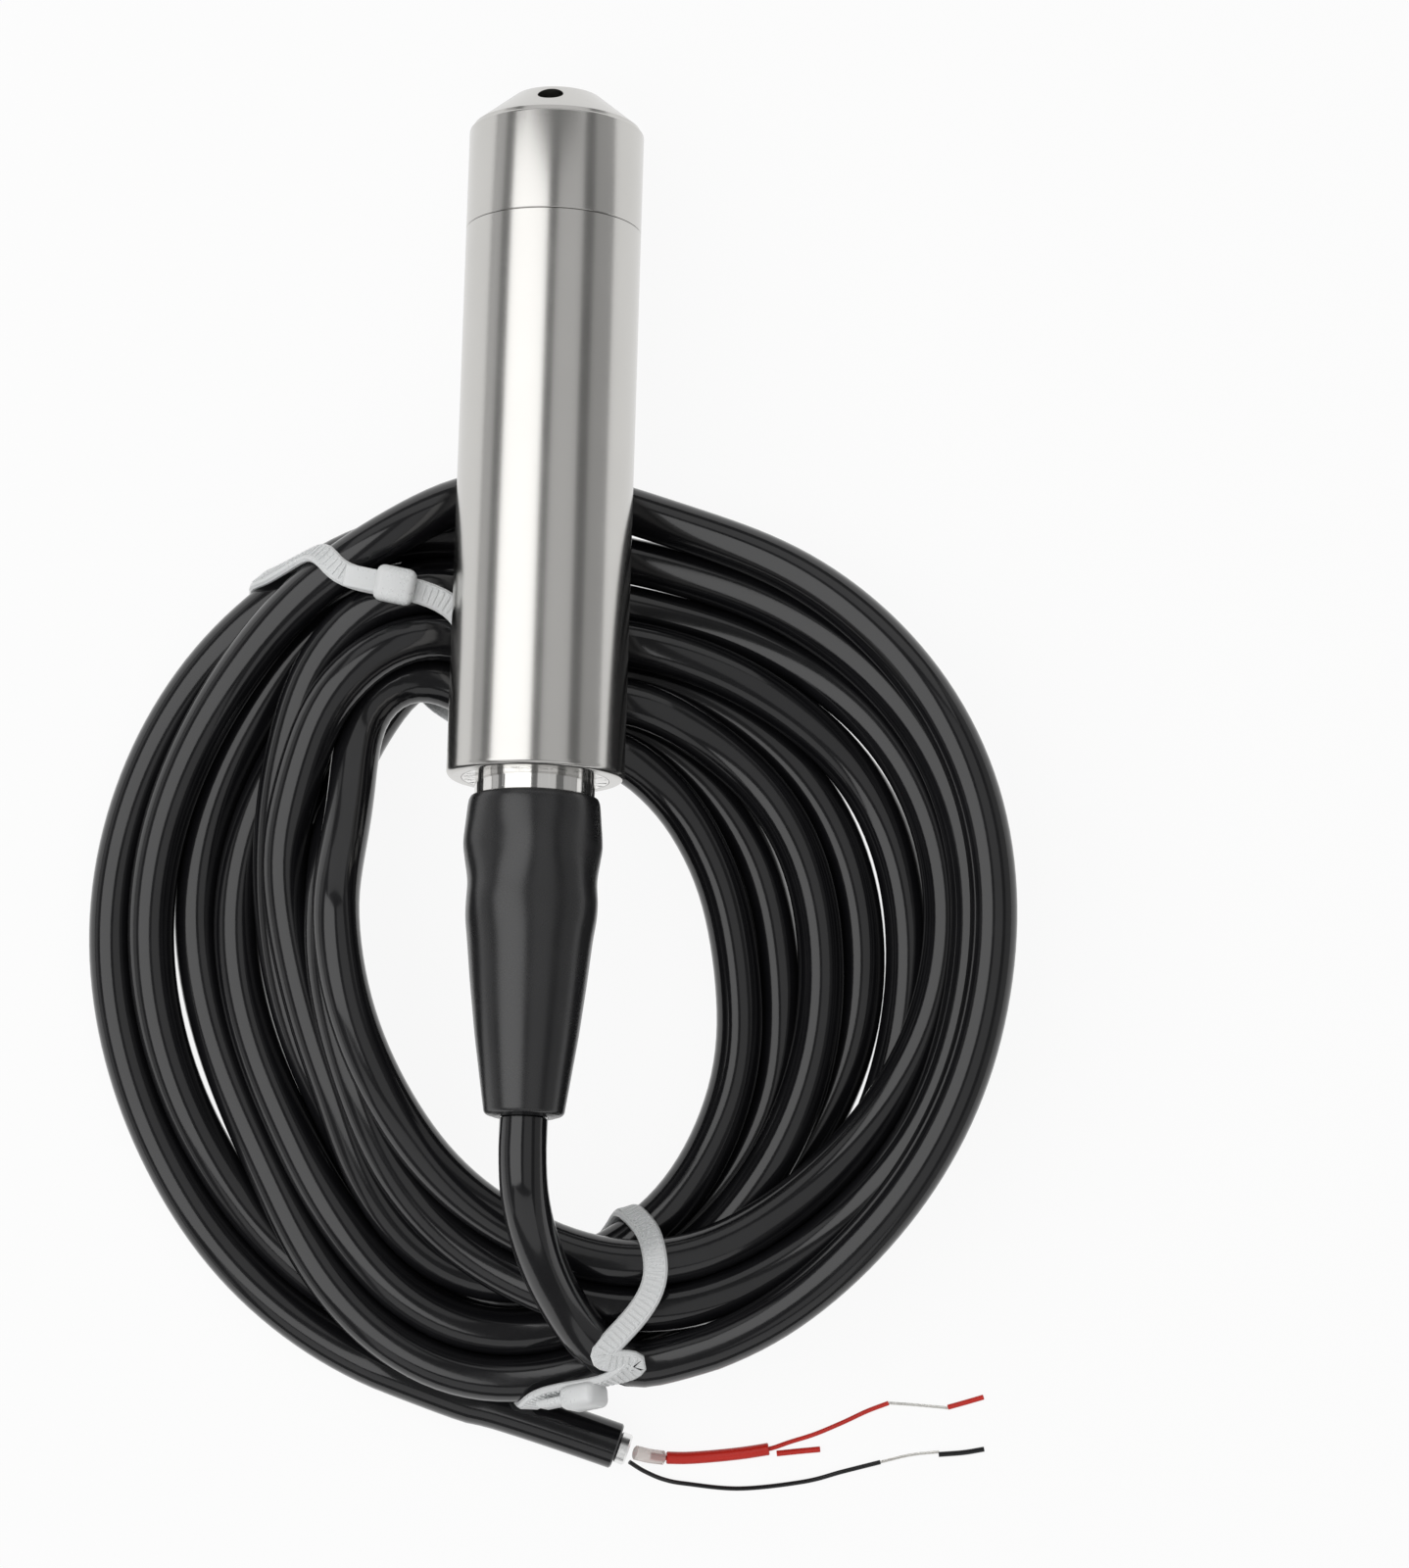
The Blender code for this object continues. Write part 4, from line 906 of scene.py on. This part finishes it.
    def ceiling(self, line: np.ndarray, probe: Probe) -> np.ndarray:
        """Highest place of the cable's middle under the probe's body."""
        reach = probe.body_radius + self.diameter / 2 + self.body_air
        room = reach ** 2 - line[:, 0] ** 2
        middle = probe.lie.shoulder.z + (probe.lie.shoulder.y - line[:, 1]) * tan(probe.tilt)
        return np.where(room > 0.0, middle - np.sqrt(np.maximum(room, 0.0)) / cos(probe.tilt),
                        FAR)

    def pushed(self, line: np.ndarray, lags: Sequence[int]) -> np.ndarray:
        """Move of each point away from points of other turns that are too near."""
        apart = self.diameter + self.air
        move = np.zeros_like(line)
        for lag in lags:
            away = line[lag:] - line[:-lag]
            distance = np.linalg.norm(away, axis=1)
            short = np.maximum(apart - distance, 0.0) / np.maximum(distance, 1e-6)
            share = away * (self.push * short)[:, None]
            move[lag:] += share
            move[:-lag] -= share
        return move

    def relaxed(self, probe: Probe) -> np.ndarray:
        """Coil with its strands pushed apart until they lie beside and on each other."""
        knots = self.knots()
        count = int((knots[-1, 0] - knots[0, 0]) / 360.0 * self.steps)
        angles = self.start + 360.0 / self.steps * np.arange(count - 1)
        radius = self.hermite(knots[:, 0], knots[:, 1], angles) * MM
        height = self.hermite(knots[:, 0], knots[:, 2], angles) * MM
        lowest = self.floor(angles)
        target = np.column_stack([self.centre[0] + radius * np.cos(np.radians(angles)),
                                  self.centre[1] + radius * np.sin(np.radians(angles)),
                                  np.maximum(height, lowest)])
        line = target.copy()
        lags = [turn * self.steps + shift for turn in range(1, len(self.right_lanes))
                for shift in range(-self.lag_reach, self.lag_reach + 1)]
        lags = [lag for lag in lags if lag < len(line)]
        away = np.abs((angles - self.hidden[0] + 180.0) % 360.0 - 180.0)
        seen = np.clip((away - self.hidden[1]) / self.hidden[2], 0.0, 1.0)
        hold = seen[:, None] * np.array(self.hold)
        for step in range(self.rounds + self.last_rounds):
            line += self.pushed(line, lags)
            offset = line - target
            offset *= 1.0 - hold * max(0.0, 1.0 - step / self.rounds)
            even = self.evening[0] if step < self.rounds else self.evening[1]
            offset[1:-1] += even * (offset[:-2] - 2 * offset[1:-1] + offset[2:])
            line = target + offset
            line[2:-2] -= self.stiffness * (line[:-4] - 4 * line[1:-3] + 6 * line[2:-2]
                                            - 4 * line[3:-1] + line[4:])
            line[:, 2] = np.minimum(line[:, 2], self.ceiling(line, probe))
            line[:, 2] = np.maximum(line[:, 2], lowest)
            line[0], line[-1] = target[0], target[-1]
        nearest = min(float(np.linalg.norm(line[lag:] - line[:-lag], axis=1).min())
                      for lag in lags)
        LOG.info("strands' middles are at least %.2f mm apart", nearest / MM)
        return line

    def build(self, probe: Probe) -> bpy.types.Object:
        """Build the whole cable as one tube.

        Args:
            probe: The probe that it leaves and lies under.

        Returns:
            The cable.
        """
        bend = probe.boot_back + (probe.gap + self.lead_in_straight)
        start = [tuple(probe.lie.at(probe.boot_back + self.air)), tuple(probe.lie.at(bend))]
        lead_in = np.array(self.lead_in) * MM
        coil = self.relaxed(probe)
        tail = np.array(self.tail) * MM
        route = np.vstack([start, lead_in, coil[2:], tail])
        self.path = spaced(route, self.pitch, 8)
        mesh = tube_mesh("vented_cable", self.path, self.diameter / 2, 24, self.cut_edge)
        made = new_object("vented_cable", mesh, JACKET.material("jacket_gloss"))
        LOG.info("cable is %.3f m long", length_of(self.path))
        return settle(made, Slot.JACKET, "cable_lead_in", "cable_coil", "cable_tail")

    def section(self, angle: float) -> np.ndarray:
        """Radius and height of each strand in the upright half plane at an angle."""
        away = self.path[:, :2] - np.array(self.centre)
        turned = (np.arctan2(away[:, 1], away[:, 0]) - angle + pi) % tau - pi
        reach = np.linalg.norm(away, axis=1)
        found = []
        for index in range(len(turned) - 1):
            one, two = turned[index], turned[index + 1]
            if one <= 0.0 < two and two - one < 1.0:
                share = -one / (two - one)
                found.append((reach[index] * (1 - share) + reach[index + 1] * share,
                              self.path[index, 2] * (1 - share)
                              + self.path[index + 1, 2] * share))
        return np.array(found)


# Ties

@dataclass
class Tie:
    """Translucent strap round the bundle with its teeth, its head and its cut end."""

    name: str
    node: str
    middle: float
    sway: float
    lean: float
    head_at: tuple[float, float]
    rounds: int = 160
    turn_rounds: int = 6
    last_rounds: int = 4
    pull: float = 0.35
    reach: float = 69.5 * MM
    near: float = 22.0 * MM
    cable_pitch: float = 0.6 * MM
    air: float = 0.1 * MM
    width: float = 3.6 * MM
    thickness: float = 1.1 * MM
    edge: float = 0.3 * MM
    tooth_pitch: float = 0.9 * MM
    tooth: tuple[float, float, float] = (0.42 * MM, 2.4 * MM, 0.34 * MM)
    head: tuple[float, float, float] = (6.0 * MM, 5.4 * MM, 3.6 * MM)
    head_edge: float = 1.2 * MM
    tongue: tuple[float, float, float] = (5.0 * MM, 3.4 * MM, 1.1 * MM)
    tongue_edge: float = 0.35 * MM
    tongue_overlap: float = 0.4 * MM
    samples: int = 96

    def angle(self, section: float) -> float:
        """Place round the coil at an angle of the bundle's section."""
        return radians(self.middle + self.sway * cos(section) + self.lean * sin(section))

    def loop(self, cable: Cable) -> np.ndarray:
        """Middle line of the strap, taut round the outermost strands."""
        offset = cable.diameter / 2 + self.air + self.thickness / 2
        points = []
        for step in range(4 * self.samples):
            section = tau * step / (4 * self.samples)
            angle = self.angle(section)
            strands = cable.section(angle)
            strands = strands[strands[:, 0] < self.reach]
            way = np.array([cos(section), sin(section)])
            best = strands[np.argmax(strands @ way)] + way * offset
            points.append((cable.centre[0] + best[0] * cos(angle),
                           cable.centre[1] + best[0] * sin(angle),
                           max(best[1], self.thickness / 2 + self.air)))
        line = np.array(points + points[:1])
        walked = walk(line)
        stops = np.linspace(0.0, walked[-1], self.samples, endpoint=False)
        return self.tightened(sample(line, walked, stops), cable, offset)

    def tightened(self, line: np.ndarray, cable: Cable, offset: float) -> np.ndarray:
        """Pull a closed line taut round the strands that it holds.

        Args:
            line: Points of the loop, outside the strands.
            cable: The cable.
            offset: Least distance of the loop from the cable's middle line.

        Returns:
            The taut loop.
        """
        centre = np.array(cable.centre)
        dense = spaced(cable.path, self.cable_pitch, 4)
        dense = dense[np.linalg.norm(dense[:, :2] - centre, axis=1) < self.reach]
        dense = dense[np.linalg.norm(dense - line.mean(0), axis=1) < self.near]
        section = line - line.mean(0)
        outer = np.linalg.norm(line[:, :2] - centre, axis=1)
        sections = np.arctan2(section[:, 2], outer - outer.mean())
        turns = np.radians(self.middle + self.sway * np.cos(sections)
                           + self.lean * np.sin(sections))
        for _ in range(self.turn_rounds):
            turns = 0.5 * turns + 0.25 * (np.roll(turns, 1) + np.roll(turns, -1))
        ways = np.column_stack([np.cos(turns), np.sin(turns)])
        for _ in range(self.rounds):
            line = line + self.pull * (0.5 * (np.roll(line, 1, 0) + np.roll(line, -1, 0)) - line)
            away = line[:, None, :] - dense[None, :, :]
            distance = np.linalg.norm(away, axis=2)
            nearest = distance.argmin(1)
            rows = np.arange(len(line))
            short = np.maximum(offset - distance[rows, nearest], 0.0)
            line += away[rows, nearest] * (short / distance[rows, nearest])[:, None]
            reach = np.linalg.norm(line[:, :2] - centre, axis=1)
            line[:, :2] = centre + ways * reach[:, None]
            line[:, 2] = np.maximum(line[:, 2], self.thickness / 2 + self.air)
        for _ in range(self.last_rounds):
            line = 0.5 * line + 0.25 * (np.roll(line, 1, 0) + np.roll(line, -1, 0))
        return line

    def frames(self, cable: Cable, line: np.ndarray) -> tuple[np.ndarray, np.ndarray]:
        """Directions along the strap and away from the bundle at each point."""
        along = np.roll(line, -1, 0) - np.roll(line, 1, 0)
        along /= np.linalg.norm(along, axis=1)[:, None]
        away = line[:, :2] - np.array(cable.centre)
        round_coil = np.column_stack([-away[:, 1], away[:, 0], np.zeros(len(line))])
        out = np.cross(along, round_coil)
        out /= np.linalg.norm(out, axis=1)[:, None]
        middle = line.mean(0)
        sign = np.sign(np.einsum("ij,ij->i", out, line - middle).sum())
        return along, out * sign

    def build(self, cable: Cable, teeth: PatternTree) -> list[bpy.types.Object]:
        """Build the strap, its teeth and its head.

        Args:
            cable: The cable that it holds.
            teeth: The tree that sets the teeth.

        Returns:
            The pieces of the tie.
        """
        line = self.loop(cable)
        along, out = self.frames(cable, line)
        side = np.cross(out, along)
        half, edge, thick = self.width / 2, self.edge, self.thickness / 2
        section = [(-thick, -half + edge), (-thick, half - edge), (-thick + edge, half),
                   (thick - edge, half), (thick, half - edge), (thick, -half + edge),
                   (thick - edge, -half), (-thick + edge, -half)]
        rings = [line + out * rise + side * shift for rise, shift in section]
        points = np.stack(rings, 1).reshape(-1, 3)
        count, corners = len(line), len(section)
        faces = [(row * corners + corner, row * corners + (corner + 1) % corners,
                  (row + 1) % count * corners + (corner + 1) % corners,
                  (row + 1) % count * corners + corner)
                 for row in range(count) for corner in range(corners)]
        mesh = face_mesh(self.name + "_strap", points.tolist(), faces, 35.0)
        material = NYLON.material(self.name + "_nylon")
        strap = settle(new_object(self.name + "_strap", mesh, material), Slot.NYLON, self.node)
        return [strap, self.rack(line, along, out, material, teeth),
                self.lock(line, along, out, material)]

    def rack(self, line: np.ndarray, along: np.ndarray, out: np.ndarray,
             material: bpy.types.Material, teeth: PatternTree) -> bpy.types.Object:
        """Teeth along the outside of the strap."""
        closed = [np.vstack([part, part[:1]]) for part in (line, along, out)]
        walked = walk(closed[0])
        stops = np.arange(0.0, walked[-1] - self.tooth_pitch, self.tooth_pitch)
        places, ways, rises = (sample(part, walked, stops) for part in closed)
        places = places + rises * (self.thickness / 2)
        mesh = bpy.data.meshes.new(self.name + "_points")
        mesh.from_pydata(places.tolist(), [], [])
        for label, vectors in (("along", ways), ("outward", rises)):
            store = mesh.attributes.new(label, "FLOAT_VECTOR", "POINT")
            store.data.foreach_set("vector", vectors.ravel())
        base = new_object(self.name + "_points", mesh, material)
        made = teeth.apply(base, self.name + "_teeth",
                           {"Length": self.tooth[0], "Width": self.tooth[1],
                            "Height": self.tooth[2], "Material": material})
        return settle(new_object(self.name + "_teeth", made, material), Slot.NYLON)

    def lock(self, line: np.ndarray, along: np.ndarray, out: np.ndarray,
             material: bpy.types.Material) -> bpy.types.Object:
        """Head of the tie with the cut end of the strap that stands out of it."""
        apart = np.linalg.norm(line[:, :2] - np.array(self.head_at) * MM, axis=1)
        index = int(np.argmin(np.where(line[:, 2] > line[:, 2].mean(), apart, FAR)))
        way, rise = Vector(along[index]), Vector(out[index])
        turn = Matrix((way, rise.cross(way), rise)).transposed().to_4x4()
        seat = Vector(line[index])
        form = bmesh.new()
        for size, shift, lift, edge in (
                (self.head, 0.0, self.head[2] / 2, self.head_edge),
                (self.tongue, -self.head[0] / 2 - self.tongue[0] / 2 + self.tongue_overlap,
                 self.head[2] / 2, self.tongue_edge)):
            cube = bmesh.ops.create_cube(form, size=1.0)["verts"]
            bmesh.ops.scale(form, vec=size, verts=cube)
            bmesh.ops.translate(form, vec=(shift, 0.0, lift), verts=cube)
            sides = list({side for corner in cube for side in corner.link_edges})
            bmesh.ops.bevel(form, geom=sides, offset=edge, segments=4, profile=0.5,
                            affect="EDGES")
        mesh = form_mesh(self.name + "_head", form, Matrix.Translation(seat) @ turn)
        outward(mesh)
        smooth(mesh, 30.0)
        return settle(new_object(self.name + "_head", mesh, material), Slot.NYLON)


# Stripped end

@dataclass
class StrippedEnd:
    """Cut shield, vent tube, red sleeve and the two leads with bared strands and slugs."""

    pitch: float = 0.4 * MM
    strand_pitch: float = 0.3 * MM
    collar_air: float = 0.02 * MM
    lead_radius: float = 0.35 * MM
    sleeve_radius: float = 0.95 * MM
    tip_radius: float = 0.45 * MM
    vent_radius: float = 1.1 * MM
    slug_radius: float = 0.4 * MM
    strand_lay: float = 0.15 * MM
    strand_radius: float = 0.085 * MM
    strand_count: int = 7
    strand_twist: float = 900.0
    collar_radius: float = 2.4 * MM
    collar_length: float = 1.8 * MM
    vent: tuple[Point, ...] = ((16.9, -128.0, 3.1), (19.2, -128.6, 2.2), (21.3, -128.9, 1.5))
    sleeve: tuple[Point, ...] = ((21.7, -128.9, 1.4), (24.8, -128.9, 1.05), (29.0, -128.5, 1.0),
                                 (33.4, -127.9, 1.0), (37.2, -127.2, 1.0))
    tip: tuple[Point, ...] = ((38.4, -127.9, 0.7), (41.6, -127.5, 0.55), (45.0, -127.1, 0.5))
    red_lead: tuple[Point, ...] = (
        (37.6, -126.8, 1.0), (40.4, -126.1, 0.6), (44.2, -124.8, 0.45), (48.4, -122.9, 0.45),
        (52.0, -121.1, 0.45), (55.2, -119.8, 0.45))
    red_strands: tuple[Point, ...] = ((55.2, -119.8, 0.45), (59.4, -120.0, 0.35),
                                      (64.3, -120.3, 0.45))
    red_slug: tuple[Point, ...] = ((64.2, -120.2, 0.5), (66.8, -119.4, 0.5),
                                   (69.6, -118.5, 0.5))
    black_lead: tuple[Point, ...] = (
        (16.1, -129.5, 2.7), (18.4, -131.0, 1.6), (21.4, -132.3, 0.7), (24.9, -132.9, 0.45),
        (33.0, -133.4, 0.45), (42.6, -132.1, 0.45), (48.5, -130.4, 0.45),
        (54.2, -128.8, 0.45))
    black_strands: tuple[Point, ...] = ((54.2, -128.8, 0.45), (58.8, -127.6, 0.35),
                                        (63.1, -127.0, 0.45))
    black_slug: tuple[Point, ...] = ((63.0, -127.4, 0.5), (66.8, -127.0, 0.5),
                                     (69.9, -126.4, 0.5))

    def line(self, points: Sequence[Point]) -> np.ndarray:
        """Evenly spaced line in metres through points in millimetres."""
        return spaced(np.array(points) * MM, self.pitch)

    def tube(self, name: str, points: np.ndarray, radius: float, finish: Moulded, slot: Slot,
             *nodes: str) -> bpy.types.Object:
        """One thin tube along a route in metres."""
        mesh = tube_mesh(name, points, radius, 16, 0.12 * radius)
        return settle(new_object(name, mesh, finish.material(name + "_finish")), slot, *nodes)

    def strands(self, name: str, points: Sequence[Point], tree: PatternTree,
                node: str) -> bpy.types.Object:
        """Bared conductor of twisted wires."""
        line = spaced(np.array(points) * MM, self.strand_pitch)
        curve = bpy.data.curves.new(name + "_line", "CURVE")
        curve.dimensions = "3D"
        spline = curve.splines.new("POLY")
        spline.points.add(len(line) - 1)
        for point, place in zip(spline.points, line):
            point.co = (*place, 1.0)
        base = linked(name + "_line", curve)
        material = TINNED.material(name + "_tin")
        mesh = tree.apply(base, name, {"Count": self.strand_count, "Lay Radius": self.strand_lay,
                                       "Wire Radius": self.strand_radius,
                                       "Twist": self.strand_twist, "Material": material})
        smooth(mesh, 50.0)
        return settle(new_object(name, mesh, material), Slot.TINNED, node)

    def build(self, cable: Cable, strand: PatternTree) -> list[bpy.types.Object]:
        """Build all pieces past the cut jacket.

        Args:
            cable: The cable whose end this is.
            strand: The tree that lays twisted wires.

        Returns:
            The pieces that go with the cable itself.
        """
        end, before = cable.path[-1], cable.path[-3]
        way = (end - before) / np.linalg.norm(end - before)
        foil = spaced([end + way * self.collar_air, end + way * self.collar_length / 2,
                       end + way * self.collar_length], self.strand_pitch)
        collar = self.tube("shield_foil", foil, self.collar_radius, FOIL, Slot.TINNED,
                           "shield_collar")
        vent = self.tube("vent_tube_clear", self.line(self.vent), self.vent_radius,
                         CLEAR_TUBE, Slot.NYLON, "vent_tube_end")
        self.red_side(strand)
        self.black_side(strand)
        return [collar, vent]

    def red_side(self, strand: PatternTree) -> None:
        """Red lead inside its sleeve, with the strands and the slug on its end."""
        path = self.line(self.vent[1:] + self.sleeve[1:] + self.red_lead[1:])
        lead = self.tube("red_lead_wire", path, self.lead_radius, RED, Slot.RED, "red_lead")
        on_it = [
            self.tube("red_sleeve_tube", self.line(self.sleeve), self.sleeve_radius, RED,
                      Slot.RED, "red_sleeve"),
            self.tube("red_sleeve_end", self.line(self.tip), self.tip_radius, RED,
                      Slot.RED, "red_sleeve_tip"),
            self.strands("red_strands", self.red_strands, strand, "red_lead_strands"),
            self.tube("red_slug", self.line(self.red_slug), self.slug_radius, RED,
                      Slot.RED, "red_lead_slug")]

    def black_side(self, strand: PatternTree) -> None:
        """Black lead with the strands and the slug on its end."""
        path = self.line(self.black_lead)
        lead = self.tube("black_lead_wire", path, self.lead_radius, JACKET, Slot.JACKET,
                         "black_lead")
        on_it = [
            self.strands("black_strands", self.black_strands, strand, "black_lead_strands"),
            self.tube("black_slug", self.line(self.black_slug), self.slug_radius, JACKET,
                      Slot.JACKET, "black_lead_slug")]


# Pieces that keep their CAD shape

class KeptPieces:
    """CAD nodes that stay, each with the finish of its slot."""

    def __init__(self, axis: Vector) -> None:
        """Make one material for each slot."""
        self.finishes = {
            Slot.STEEL: TurnedSteel().material("inner_steel", axis),
            Slot.BRIGHT_STEEL: INNER_BRIGHT_STEEL.material("inner_bright_steel", axis),
            Slot.TINNED: TINNED.material("inner_tin"),
            Slot.PLATED: PLATED.material("inner_plating"),
            Slot.RUBBER: RUBBER.material("inner_rubber"),
            Slot.JACKET: JACKET.material("inner_jacket"),
            Slot.NYLON: NYLON.material("inner_nylon"),
            Slot.RED: RED.material("inner_red"),
            Slot.GLASS: GLASS_SEAL.material("inner_glass"),
            Slot.BOARD: BOARD.material("inner_board"),
            Slot.CHIP: CHIP.material("inner_chip"),
            Slot.CERAMIC: CERAMIC.material("inner_ceramic"),
        }

    def dress(self) -> None:
        """Assign each node the material of its slot in the record."""
        for entry in frame["record"]["subparts"]:
            node = frame["nodes"][entry["node"]]
            material = self.finishes[Slot(entry["material_slot"])]
            node.data.materials.clear()
            node.data.materials.append(material)
            LOG.info("%s keeps its shape", entry["node"])


# Studio

@dataclass(frozen=True)
class Panel:
    """Long soft light over the probe, placed by its angle from the zenith."""

    name: str
    lean: float
    spread: float
    length: float
    radiance: float
    turn: float = 0.0
    colour: Colour = (1.0, 1.0, 1.0)
    distance: float = 1.1

    def build(self, target: Vector) -> None:
        """Hang the light, turned to the target."""
        width = 2 * self.distance * tan(radians(self.spread / 2))
        light = bpy.data.lights.new(self.name, "AREA")
        light.shape = "RECTANGLE"
        light.size = width
        light.size_y = self.length
        light.energy = self.radiance * pi * width * self.length
        light.color = self.colour
        made = linked(self.name, light)
        lean, turn = radians(self.lean), radians(self.turn)
        way = Vector((sin(lean) * cos(turn), sin(lean) * sin(turn), cos(lean)))
        made.location = target + way * self.distance
        made.rotation_euler = (0.0, lean, turn)


@dataclass
class Studio:
    """Camera straight above, white floor, soft panels and a plain world."""

    camera_place: Point = (24.67, -26.6, 729.7)
    camera_roll: float = 1.57
    focal_length: float = 110.25
    sensor_width: float = 36.0
    clip: tuple[float, float] = (0.01, 20.0)
    aim: Point = (0.0, 20.0, 20.0)
    floor_size: float = 4.0
    floor_drop: float = 0.05 * MM
    floor_colour: Colour = (0.86, 0.86, 0.86)
    floor_roughness: float = 0.9
    world_strength: float = 0.16
    floor_glow: float = 0.92
    panels: tuple[Panel, ...] = (
        Panel("left_panel", -32.5, 53.0, 1.5, 1.60),
        Panel("right_panel", 25.0, 37.0, 1.5, 0.46),
        Panel("left_low_panel", -81.0, 15.0, 2.4, 0.40),
        Panel("right_low_panel", 74.0, 29.0, 2.4, 0.26),
        Panel("front_panel", -58.0, 30.0, 1.6, 0.60, turn=90.0),
        Panel("back_panel", 58.0, 30.0, 1.6, 0.60, turn=90.0))

    def camera(self) -> None:
        """Camera at the photograph's place."""
        data = bpy.data.cameras.new("camera")
        data.lens = self.focal_length
        data.sensor_width = self.sensor_width
        data.clip_start, data.clip_end = self.clip
        made = linked("camera", data)
        made.location = Vector(self.camera_place) * MM
        made.rotation_euler = (0.0, 0.0, radians(self.camera_roll))
        bpy.context.scene.camera = made

    def floor(self) -> None:
        """White floor that keeps the object's shadow."""
        form = bmesh.new()
        bmesh.ops.create_grid(form, x_segments=1, y_segments=1, size=self.floor_size / 2)
        mesh = form_mesh("studio_floor", form,
                         Matrix.Translation((0.0, 0.0, -self.floor_drop)))
        material, bench, shader = new_material("studio_white")
        bench.fill(shader, {"Base Color": rgba(self.floor_colour),
                            "Roughness": self.floor_roughness,
                            "Specular IOR Level": 0.0})
        rays = bench.node("ShaderNodeLightPath").outputs
        seen = (Value(bench, rays["Is Camera Ray"]) + Value(bench, rays["Is Glossy Ray"])
                + Value(bench, rays["Is Transmission Ray"])).at_most(1.0)
        glow = bench.node("ShaderNodeEmission", None, {"Color": WHITE, "Strength": 1.0})
        blend = bench.node("ShaderNodeMixShader", None,
                           {0: seen * self.floor_glow, 1: shader.outputs[0],
                            2: glow.outputs[0]})
        output = bench.tree.nodes["Material Output"]
        bench.tree.links.new(blend.outputs[0], output.inputs["Surface"])
        new_object("studio_floor", mesh, material)

    def world(self) -> None:
        """Even grey-white surroundings."""
        world = bpy.data.worlds.new("studio_world")
        world.use_nodes = True
        back = world.node_tree.nodes["Background"]
        back.inputs["Color"].default_value = WHITE
        back.inputs["Strength"].default_value = self.world_strength
        bpy.context.scene.world = world

    def build(self) -> None:
        """Build the studio."""
        self.camera()
        self.floor()
        self.world()
        target = Vector(self.aim) * MM
        for panel in self.panels:
            panel.build(target)
        bpy.context.scene.view_settings.view_transform = "Standard"


def main() -> None:
    """Build the studio, the cable and the probe, and report each piece."""
    logging.basicConfig(level=logging.INFO, format="%(name)s: %(message)s")
    Studio().build()
    probe = Probe()
    cable = Cable()
    jacket = cable.build(probe)
    teeth, strand = tooth_tree(), strand_tree()
    with_cable = []
    for tie in (Tie("upper_tie", "cable_tie_top", 119.5, 8.5, -11.0, (-20.2, 6.9)),
                Tie("lower_tie", "cable_tie_bottom", 279.5, -9.5, 6.5, (10.1, -117.3))):
        with_cable += tie.build(cable, teeth)
    with_cable += StrippedEnd().build(cable, strand)
    KeptPieces(probe.lie.axis).dress()
    probe.build()


if __name__ == "__main__":
    main()
